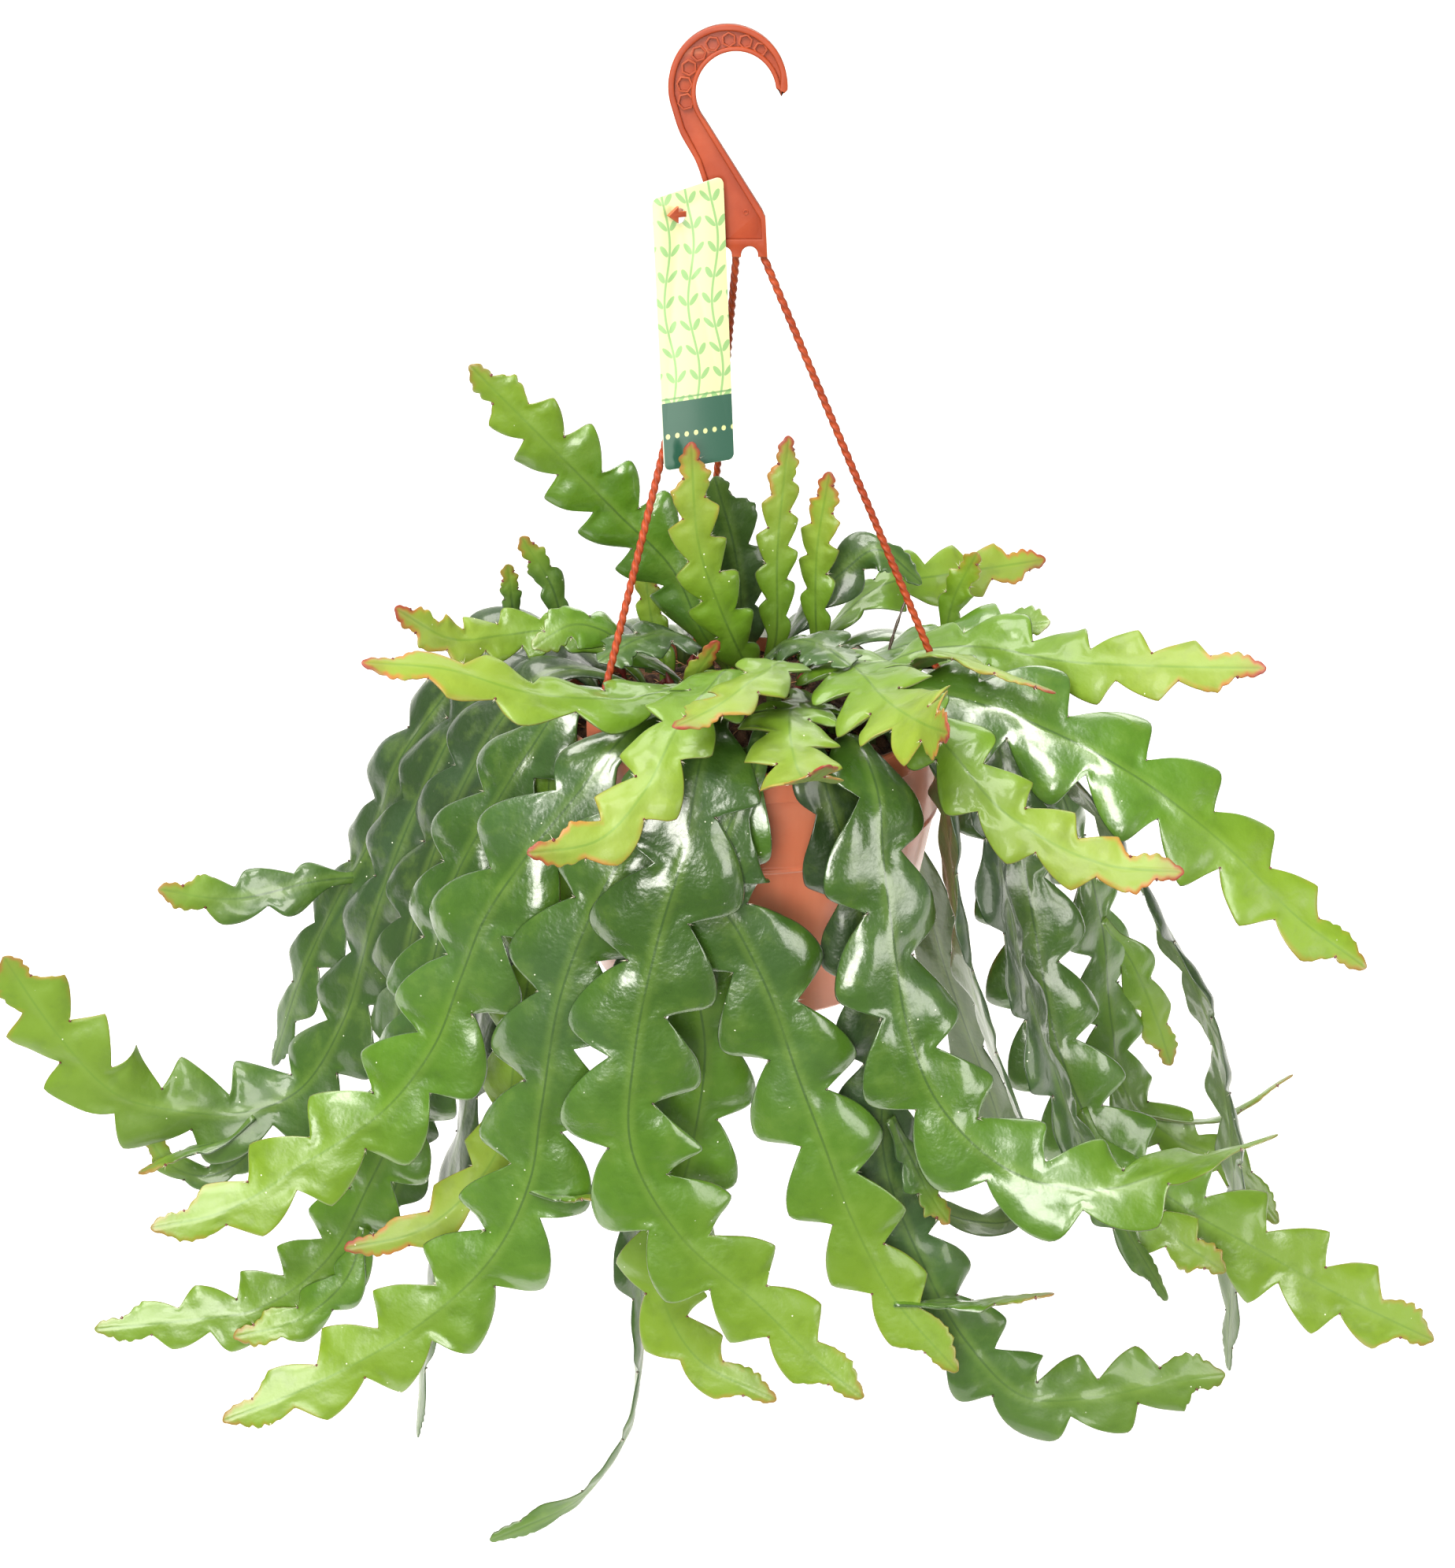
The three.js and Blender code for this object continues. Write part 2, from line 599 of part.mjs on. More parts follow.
    name: 'frond_front_left', tone: 'mature', root: [244, 76], width: 30, pitch: 42, stem: 65,
    faces: [[-0.2, -1, 0.2], [-0.2, -1, 0.1], toViewer],
    route: [[-27, -90, -291], [-35, -107, -309], [-58, -116, -345], [-78, -118, -395], [-89, -119, -455],
      [-96, -120, -495], [-115, -122, -535], [-150, -125, -570], [-200, -130, -600], [-245, -140, -615]],
    shoots: [
      {
        width: 8, pitch: 30, faces: [[0, 0.38, 0.92]],
        route: [[-97, -117, -500], [-85, -124, -500], [-58, -132, -495]],
      },
    ],
  },
  {
    name: 'frond_front_main', tone: 'mature', root: [256, 54], width: 32, pitch: 42, stem: 75,
    faces: [[0, -1, 0.2], [0, -1, 0.1], [0.1, -1, 0.3]],
    route: [[-10, -84, -279], [-16, -114, -288], [-23, -130, -322], [-35, -134, -365], [-45, -138, -415],
      [-47, -140, -465], [-25, -142, -510], [10, -144, -545], [40, -150, -575], [60, -155, -590]],
  },
  {
    name: 'frond_front_behind', tone: 'mature', root: [270, 76], width: 26, pitch: 38, stem: 60,
    faces: [[0, -1, 0.2], [0, -1, 0.1], toViewer],
    route: [[7, -94, -292], [-2, -107, -310], [-14, -111, -345], [-18, -111, -390], [-14, -110, -430],
      [-20, -110, -480], [-32, -112, -530], [-35, -114, -560], [-18, -118, -595], [20, -124, -615]],
  },
  {
    name: 'frond_front_centre', tone: 'mature', root: [280, 54], width: 30, pitch: 42, stem: 115,
    faces: [[0.1, -1, 0.2], [0.1, -1, 0.1], toViewer],
    route: [[12, -84, -283], [7, -108, -295], [-5, -120, -318], [-10, -122, -342], [2, -123, -365],
      [15, -124, -394], [28, -126, -434], [40, -128, -468], [54, -130, -508], [75, -134, -550],
      [105, -142, -585]],
    shoots: [
      {
        width: 9, pitch: 40, faces: [[0.1, 0.3, 0.9]],
        route: [[74, -134, -552], [110, -128, -556], [150, -132, -548]],
      },
    ],
  },
  {
    name: 'frond_front_right', tone: 'mature', root: [303, 76], width: 29, pitch: 42, stem: 60,
    faces: [[0.7, -0.7, 0.1], [0.5, -0.85, 0.2], [0.1, -1, 0.3], [0, 0.38, 0.92]],
    route: [[54, -80, -290], [62, -104, -304], [65, -116, -335], [70, -124, -370], [76, -130, -405],
      [92, -134, -445], [125, -142, -475], [165, -150, -480], [200, -154, -465], [240, -160, -445]],
  },
  {
    name: 'frond_front_dark', tone: 'old', root: [289, 76], width: 22, pitch: 36, stem: 60, taper: 65,
    faces: [[0.2, -1, 0.1], [0.3, -1, 0.1], toViewer],
    route: [[35, -91, -291], [42, -101, -312], [53, -104, -345], [61, -105, -385], [67, -107, -430],
      [70, -111, -490], [90, -115, -545], [112, -120, -585], [140, -125, -612], [175, -130, -608],
      [205, -135, -596], [232, -140, -588]],
    shoots: [
      {
        width: 11, pitch: 30, faces: [[0.7, -0.7, 0.3]],
        route: [[72, -111, -466], [82, -110, -488], [91, -112, -506], [101, -116, -520]],
      },
    ],
  },
  {
    name: 'frond_front_tail', tone: 'old', root: [257, 76], width: 14, pitch: 48, stem: 67,
    faces: [[0, -1, 0.1], [0, -1, 0], [0.6, -0.8, 0], [1, -0.1, 0], [0.8, -0.5, 0.3]],
    route: [[-14, -92, -291], [-24, -102, -314], [-38, -100, -350], [-46, -99, -405], [-50, -97, -470],
      [-50, -95, -515], [-48, -92, -560], [-46, -90, -605], [-56, -90, -665], [-80, -92, -700],
      [-125, -100, -720]],
  },
  {
    name: 'frond_front_folded', tone: 'young', root: [258, 32], width: 21, pitch: 28, stem: 60,
    faces: [[0, -0.2, 1], [-0.2, -0.8, 0.8], [0, -1, 0.2]],
    route: [[-2, -54, -266], [-12, -88, -262], [-25, -120, -268], [-40, -142, -290], [-58, -152, -306],
      [-88, -160, -309]],
  },
  // Fronds that point out to the front and spread to the right
  {
    name: 'frond_star_high', tone: 'young', root: [36, 32], width: 28, pitch: 26, stem: 74,
    faces: [[0, 0, 1], [0, 0, 1], [-0.4, 0, 1], [-1, -0.2, 0.1]],
    route: [[42, 0, -274], [49, -30, -268], [56, -64, -263], [66, -108, -261], [77, -150, -254],
      [85, -185, -245]],
  },
  {
    name: 'frond_star_low', tone: 'young', root: [345, 20], width: 24, pitch: 26, stem: 70,
    faces: [[0, -0.25, 1]],
    route: [[34, -46, -284], [24, -92, -272], [24, -126, -276], [28, -158, -276], [36, -187, -258]],
  },
  {
    name: 'frond_front_edge', tone: 'young', root: [292, 30], width: 17, pitch: 28, stem: 70,
    faces: [[0.2, 0.1, 1]],
    route: [[18, -44, -268], [20, -68, -257], [8, -98, -254], [-8, -126, -256], [-26, -148, -257]],
  },
  {
    name: 'frond_right_low', tone: 'young', root: [316, 54], width: 20, pitch: 28, stem: 75,
    faces: [[-0.1, -1, 0.5]],
    route: [[64, -56, -279], [78, -80, -275], [94, -106, -284], [116, -128, -304], [155, -145, -320],
      [190, -155, -320]],
  },
  {
    name: 'frond_right_top', tone: 'young', root: [10, 54], width: 21, pitch: 30, stem: 54,
    faces: [[0, -1, 0.7]],
    route: [[78, 2, -280], [98, 1, -274], [120, -10, -270], [150, -34, -268], [190, -58, -262],
      [235, -80, -255]],
  },
  {
    name: 'frond_right_big', tone: 'mature', root: [334, 54], width: 31, pitch: 36, stem: 60,
    faces: [[0.3, -1, 0.6]],
    route: [[74, -44, -280], [100, -56, -278], [136, -70, -286], [180, -90, -304], [220, -105, -332],
      [250, -115, -360], [282, -122, -382]],
  },
  {
    name: 'frond_right_slim', tone: 'young', root: [350, 54], width: 12, pitch: 24, stem: 47,
    faces: [[0, 0.3, 1]],
    route: [[77, -32, -274], [91, -46, -260], [112, -64, -260], [142, -82, -266]],
  },
  {
    name: 'frond_right_broad', tone: 'mature', root: [30, 54], width: 22, pitch: 40, stem: 50,
    faces: [[0, -0.8, 1]],
    route: [[78, 27, -284], [98, 26, -278], [122, 18, -271], [150, 2, -261]],
  },
  // Cascade over the right of the rim
  {
    name: 'frond_edge_front', tone: 'old', root: [318, 76], width: 21, pitch: 44, faces: [edgeOn],
    route: [[80, -64, -289], [92, -76, -306], [98, -84, -335], [104, -90, -378], [120, -95, -435],
      [132, -100, -465], [142, -102, -490]],
  },
  {
    name: 'frond_edge_dark', tone: 'old', root: [331, 76], width: 21, pitch: 40,
    faces: [[0.8, -0.2, 0.4], [0.7, -0.4, 0.3]],
    route: [[94, -44, -289], [110, -56, -306], [120, -66, -345], [132, -76, -400], [152, -82, -460],
      [175, -88, -515], [195, -92, -550], [212, -94, -578]],
  },
  {
    name: 'frond_right_sweep', tone: 'mature', root: [358, 76], width: 28, pitch: 38, stem: 78, taper: 90,
    faces: [[0.4, -0.9, 0.2], [0.3, -0.9, 0.2], toViewer, toViewer],
    route: [[105, -2, -285], [122, -13, -309], [136, -26, -360], [146, -34, -410], [160, -42, -470],
      [185, -46, -520], [225, -55, -550], [265, -62, -572], [300, -70, -590], [350, -80, -612]],
    shoots: [
      {
        width: 18, pitch: 26, faces: [toViewer],
        route: [[172, -44, -500], [185, -60, -528], [210, -72, -550], [242, -82, -570]],
      },
    ],
  },
  {
    name: 'frond_right_pale', tone: 'mature', root: [34, 76], width: 22, pitch: 40, stem: 60,
    faces: [[0.8, -0.3, 0.3], [0.8, -0.5, 0], [0.4, -0.9, 0.3], [0, -0.8, 0.6]],
    route: [[98, 50, -290], [124, 50, -308], [154, 44, -345], [176, 38, -392], [190, 35, -440],
      [197, 32, -490], [208, 28, -534], [232, 24, -556], [265, 20, -572], [292, 15, -605]],
    shoots: [
      {
        width: 7, pitch: 45, faces: [[0, 0.38, 0.92]],
        route: [[216, 26, -545], [255, 30, -550], [297, 35, -525]],
      },
      {
        width: 13, pitch: 28, faces: [[0.2, -1, 0.2]],
        route: [[190, 36, -435], [208, 42, -462], [224, 44, -498], [234, 46, -526]],
      },
      {
        width: 9, pitch: 22, faces: [[-0.3, -1, 0]],
        route: [[104, 50, -293], [108, 48, -265], [118, 40, -238]],
      },
    ],
  },
  {
    name: 'frond_right_long', tone: 'old', root: [18, 76], width: 20, pitch: 42, stem: 66,
    faces: [edgeOn],
    route: [[103, 24, -290], [130, 19, -306], [160, 10, -336], [186, 2, -370], [210, -4, -410],
      [236, -8, -458], [252, -10, -510], [260, -12, -560], [263, -12, -610], [266, -12, -680]],
  },
  // Fronds over the back of the rim
  {
    name: 'frond_rear_1', tone: 'old', root: [131, 76], width: 26, pitch: 52, stem: 65,
    route: [[-52, 84, -288], [-68, 102, -304], [-84, 122, -345], [-98, 136, -390], [-110, 146, -440],
      [-124, 160, -490]],
  },
  {
    name: 'frond_rear_2', tone: 'old', root: [116, 76], width: 26, pitch: 52, stem: 60,
    route: [[-34, 84, -291], [-42, 104, -308], [-48, 126, -350], [-50, 142, -400], [-48, 154, -450],
      [-38, 170, -495]],
  },
  {
    name: 'frond_rear_3', tone: 'mature', root: [90, 76], width: 26, pitch: 52, stem: 60,
    route: [[8, 98, -288], [14, 120, -310], [18, 138, -360], [22, 148, -415], [34, 158, -465],
      [54, 172, -505]],
  },
  {
    name: 'frond_rear_4', tone: 'old', root: [78, 76], width: 17, pitch: 60,
    route: [[38, 92, -288], [58, 108, -308], [76, 118, -350], [90, 120, -400], [104, 116, -450],
      [116, 108, -492], [163, 100, -656], [135, 94, -655], [101, 90, -636]],
  },
  {
    name: 'frond_rear_5', tone: 'mature', root: [52, 76], width: 25, pitch: 52, stem: 60,
    route: [[76, 72, -289], [102, 86, -304], [130, 92, -340], [150, 95, -385], [165, 99, -435],
      [184, 104, -480]],
  },
  {
    name: 'frond_rear_6', tone: 'mature', root: [146, 76], width: 25, pitch: 52, stem: 60,
    route: [[-76, 62, -289], [-100, 80, -308], [-118, 96, -350], [-136, 104, -400], [-150, 110, -450],
      [-170, 120, -495]],
  },
];

// Assembly
const plastic = material(colours.terracotta, 0.42);
addPart('hanger_hook', hookGeometry(), plastic);
for (const [name, angle] of Object.entries(strapAngles)) {
  addPart(`strap_${name}`, strapGeometry(prongs[name], angle), plastic);
}
addPart('tag_card', tagGeometry(), material(colours.tag, 0.55));
addPart('pot', potGeometry(), material(colours.pot, 0.35));
addPart('soil', soilGeometry(fronds.map((frond) => rootPlace(frond.root))), material(colours.soil, 0.95));
for (const frond of fronds) {
  addPart(frond.name, frondGeometry(frond), material(colours[frond.tone], 0.4));
}

export default group;
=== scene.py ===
# Dresses the potted ric rac cactus: fine fronds, hanging pot, soil, hook, straps and tag, in metres
import math
import bpy
import numpy as np
from mathutils import Matrix, Vector


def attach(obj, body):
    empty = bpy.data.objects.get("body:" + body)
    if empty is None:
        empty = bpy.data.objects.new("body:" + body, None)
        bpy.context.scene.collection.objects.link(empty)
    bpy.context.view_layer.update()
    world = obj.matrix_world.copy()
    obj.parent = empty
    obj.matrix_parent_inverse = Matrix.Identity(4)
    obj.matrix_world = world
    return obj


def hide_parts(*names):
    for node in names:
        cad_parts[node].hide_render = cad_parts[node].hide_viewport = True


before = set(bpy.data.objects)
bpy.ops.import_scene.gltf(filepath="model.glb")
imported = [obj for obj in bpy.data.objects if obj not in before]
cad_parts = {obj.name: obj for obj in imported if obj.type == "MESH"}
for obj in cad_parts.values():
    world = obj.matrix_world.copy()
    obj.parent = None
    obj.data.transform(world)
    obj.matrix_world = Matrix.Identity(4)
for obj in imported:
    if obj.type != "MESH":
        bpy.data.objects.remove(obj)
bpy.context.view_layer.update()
print("frame loaded:", len(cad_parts), "nodes")

mm = 0.001
potAxis = np.array([7.0, 0.0])
frondHeart = np.array([7.0, 0.0, -420.0])


# Meshes from arrays

class Bits:  # gathers surfaces in mm, with one row of point values for each attribute
    def __init__(self):
        self.points, self.faces, self.values, self.count = [], [], {}, 0

    def add(self, points, faces, **values):
        points = np.asarray(points, float).reshape(-1, 3)
        for face in faces:
            self.faces.append(np.asarray(face) + self.count)
        for key in {**self.values, **values}:
            old = self.values.setdefault(key, [np.zeros(self.count)] if self.count else [])
            old.append(np.broadcast_to(np.asarray(values.get(key, 0.0), float), (len(points),)))
        self.points.append(points)
        self.count += len(points)

    def mesh(self, name):
        mesh = bpy.data.meshes.new(name)
        points = np.concatenate(self.points) * mm
        corners = np.concatenate([face.ravel() for face in self.faces])
        sizes = np.concatenate([np.full(len(face), face.shape[1]) for face in self.faces])
        starts = np.concatenate([[0], np.cumsum(sizes)[:-1]])
        mesh.vertices.add(len(points))
        mesh.vertices.foreach_set("co", points.ravel())
        mesh.loops.add(len(corners))
        mesh.loops.foreach_set("vertex_index", corners.astype(np.int32))
        mesh.polygons.add(len(sizes))
        mesh.polygons.foreach_set("loop_start", starts.astype(np.int32))
        mesh.polygons.foreach_set("use_smooth", np.ones(len(sizes), bool))
        for key, rows in self.values.items():
            layer = mesh.attributes.new(key, "FLOAT", "POINT")
            layer.data.foreach_set("value", np.concatenate(rows).astype(np.float32))
        mesh.update(calc_edges=True)
        mesh.validate()
        return mesh


def piece(name, mesh, finish, nodes=()):  # puts a mesh in the scene, in place of its nodes
    obj = bpy.data.objects.new(name, mesh)
    bpy.context.scene.collection.objects.link(obj)
    mesh.materials.append(finish)
    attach(obj, "root")
    if nodes:
        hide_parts(*nodes)
    return obj


def gridFaces(rows, around, closed=True):
    # quads between neighbouring rows; a closed grid joins its last column to its first
    i = np.arange(rows - 1)[:, None] * around
    j = np.arange(around if closed else around - 1)[None, :]
    k = (j + 1) % around
    return np.stack([i + j, i + k, i + around + k, i + around + j], axis=-1).reshape(-1, 4)


def tubeFaces(rows, around):  # a closed tube with a flat cap on each end
    last = (rows - 1) * around
    caps = [np.arange(around)[::-1][None, :], (last + np.arange(around))[None, :]]
    return [gridFaces(rows, around)] + caps


def copies(faces, size, count):  # the same faces for each of count bodies of size points
    return (np.arange(count)[:, None, None] * size + faces).reshape(-1, faces.shape[1])


# a body with six corners and eight faces
diamond = np.array([[1, 0, 0], [0, 1, 0], [-1, 0, 0], [0, -1, 0], [0, 0, 1], [0, 0, -1.0]])
diamondFaces = np.array([
    [0, 1, 4], [1, 2, 4], [2, 3, 4], [3, 0, 4], [1, 0, 5], [2, 1, 5], [3, 2, 5], [0, 3, 5]])
thirds = np.arange(3) * 2 * np.pi / 3  # the corners of a three-sided section, as turns


def ease(low, high, x):  # smooth step, 3t^2 - 2t^3 of the share t between low and high
    t = np.clip((np.asarray(x, float) - low) / (high - low), 0, 1)
    return t * t * (3 - 2 * t)


def unit(v):  # each row at length one
    return v / np.maximum(np.linalg.norm(v, axis=-1, keepdims=True), 1e-9)


def midribCurve(route):
    # centripetal Catmull-Rom through the route: each span is a cubic whose end slopes come from the
    # neighbouring points, spaced by the square root of their distance; read by share of the length
    p = np.array(route, float)
    p = np.vstack([2 * p[0] - p[1], p, 2 * p[-1] - p[-2]])
    gaps = np.sqrt(np.linalg.norm(np.diff(p, axis=0), axis=1))
    d0, d1, d2 = gaps[:-2, None], gaps[1:-1, None], gaps[2:, None]
    x0, x1, x2, x3 = p[:-3], p[1:-2], p[2:-1], p[3:]
    t1 = ((x1 - x0) / d0 - (x2 - x0) / (d0 + d1) + (x2 - x1) / d1) * d1
    t2 = ((x2 - x1) / d1 - (x3 - x1) / (d1 + d2) + (x3 - x2) / d2) * d1
    c2, c3 = -3 * x1 + 3 * x2 - 2 * t1 - t2, 2 * x1 - 2 * x2 + t1 + t2

    def at(t):
        t = np.clip(t, 0, 1) * len(x1)
        k = np.minimum(t.astype(int), len(x1) - 1)
        w = (t - k)[:, None]
        return x1[k] + w * (t1[k] + w * (c2[k] + w * c3[k]))

    steps = np.linspace(0, 1, 201)
    lengths = np.concatenate([[0], np.cumsum(np.linalg.norm(np.diff(at(steps), axis=0), axis=1))])

    def atShare(u):
        return at(np.interp(u * lengths[-1], lengths, steps))

    def heading(u):
        t = np.interp(u * lengths[-1], lengths, steps)
        return unit(at(np.minimum(t + 1e-4, 1)) - at(np.maximum(t - 1e-4, 0)))

    return atShare, heading, lengths[-1]


# Materials, where sums on the nodes are written as plain expressions on wires

def between(operation, reflected=False):  # a method that joins a wire and another wire or number
    def join(wire, other):
        return wire.sum(operation, other, wire) if reflected else wire.sum(operation, wire, other)
    return join


class Wire:
    def __init__(self, finish, socket):
        self.finish, self.socket = finish, socket

    def sum(self, operation, first, second=0.0):
        return self.finish.node("ShaderNodeMath", dict(operation=operation), {0: first, 1: second}).out()

    __add__, __radd__ = between("ADD"), between("ADD", True)
    __sub__, __rsub__ = between("SUBTRACT"), between("SUBTRACT", True)
    __mul__, __rmul__ = between("MULTIPLY"), between("MULTIPLY", True)
    __truediv__, __pow__, most = between("DIVIDE"), between("POWER"), between("MAXIMUM")

    def size(self):
        return self.sum("ABSOLUTE", self)

    def wave(self):
        return self.sum("SINE", self)

    def part(self):
        return self.sum("FRACT", self)

    def rise(self, low, high, start=0.0, end=1.0):  # smooth step from start to end between low and high
        sockets = {0: self, 1: low, 2: high, 3: start, 4: end}
        return self.finish.node("ShaderNodeMapRange", dict(interpolation_type="SMOOTHSTEP"), sockets).out()


class Node:
    def __init__(self, finish, node):
        self.finish, self.node = finish, node

    def out(self, name=0):
        return Wire(self.finish, self.node.outputs[name])


class Finish:
    def __init__(self, name):
        self.material = bpy.data.materials.new(name)
        self.material.use_nodes = True
        self.tree = self.material.node_tree
        self.tree.nodes.clear()
        self.end = self.tree.nodes.new("ShaderNodeOutputMaterial")

    def node(self, kind, settings=None, sockets=None):  # settings first, then values or wires on the sockets
        node = self.tree.nodes.new(kind)
        for key, value in (settings or {}).items():
            setattr(node, key, value)
        for key, value in (sockets or {}).items():
            if isinstance(value, Wire):
                self.tree.links.new(value.socket, node.inputs[key])
            else:
                node.inputs[key].default_value = value
        return Node(self, node)

    def place(self):
        return self.node("ShaderNodeTexCoord").out("Object")

    def value(self, name):
        return self.node("ShaderNodeAttribute", dict(attribute_name=name)).out("Fac")

    def noise(self, scale, detail, where, rough=0.5):
        return self.node("ShaderNodeTexNoise", None,
                         {"Vector": where, "Scale": scale, "Detail": detail, "Roughness": rough}).out(0)

    def mix(self, share, first, second):
        sockets = {0: share, 6: first, 7: second}
        return self.node("ShaderNodeMix", dict(data_type="RGBA"), sockets).out(2)

    def bump(self, height, strength, distance):
        sockets = {"Height": height, "Strength": strength, "Distance": distance}
        return self.node("ShaderNodeBump", None, sockets).out()

    def close(self, **sockets):  # the shader, with underscores in socket names read as spaces
        named = {key.replace("_", " "): value for key, value in sockets.items()}
        shader = self.node("ShaderNodeBsdfPrincipled", None, named)
        self.tree.links.new(shader.node.outputs[0], self.end.inputs[0])
        return self.material


def tint(red, green, blue):  # a colour given as seen on a screen, 0 to 255
    def linear(c):
        c = c / 255
        return c / 12.92 if c <= 0.04045 else ((c + 0.055) / 1.055) ** 2.4
    return (linear(red), linear(green), linear(blue), 1.0)


# Fronds, in mm: a root is an angle round the pot's axis and a distance from it, a width goes from the
# midrib to the top of a lobe, a pitch is one lobe's length, and a stem ends where the lobes begin

frondLook = dict(
    crowding=0.22, lobePeak=0.6, full=0.52, lean=0.15, point=0.6, waist=0.28,  # the outline of a lobe
    stemHalf=3.2, tipShare=0.36, round=4,  # the stem's half width, and how the tip narrows and ends
    pillow=2.7, wave=2.6, crease=1.5, buckle=1.3, curl=0.1, cup=0.12,  # relief in mm, the last two as shares
    ribHalf=1.5, bladeHalf=0.8, ribWidth=2.2, groove=0.5, grooveWidth=0.9,  # thickness in mm
    rowsPerLobe=18, stemRow=3.2, tailRows=(2.6, 1.7, 1.0, 0.5, 0.15, 0.0),  # rows from foot to tip
    # columns from midrib to margin lie at these shares of the half width plus these steps in mm
    shares=(0, 0, 0.07, 0.3, 0.55, 0.78, 0.93, 0.985, 1.0),
    steps=(0, 1.5, 2.6, 2.0, 0.8, 0, 0, 0, 0),
    bristle=3.5, bristleWidth=0.17, areole=0.8, tipRed=17.0,
    tooth=5.5, toothShare=0.3, toothed=34,  # small teeth along the last part of a blade, in mm
    seed=500, shootSeed=900)
rooting = dict(foot=-330, straight=14, crown=-297, above=2)  # each stem stands upright in its hole
toViewer = (0, -0.9, 0.4)
edgeOn = (0.78, 0.19, 0.46)
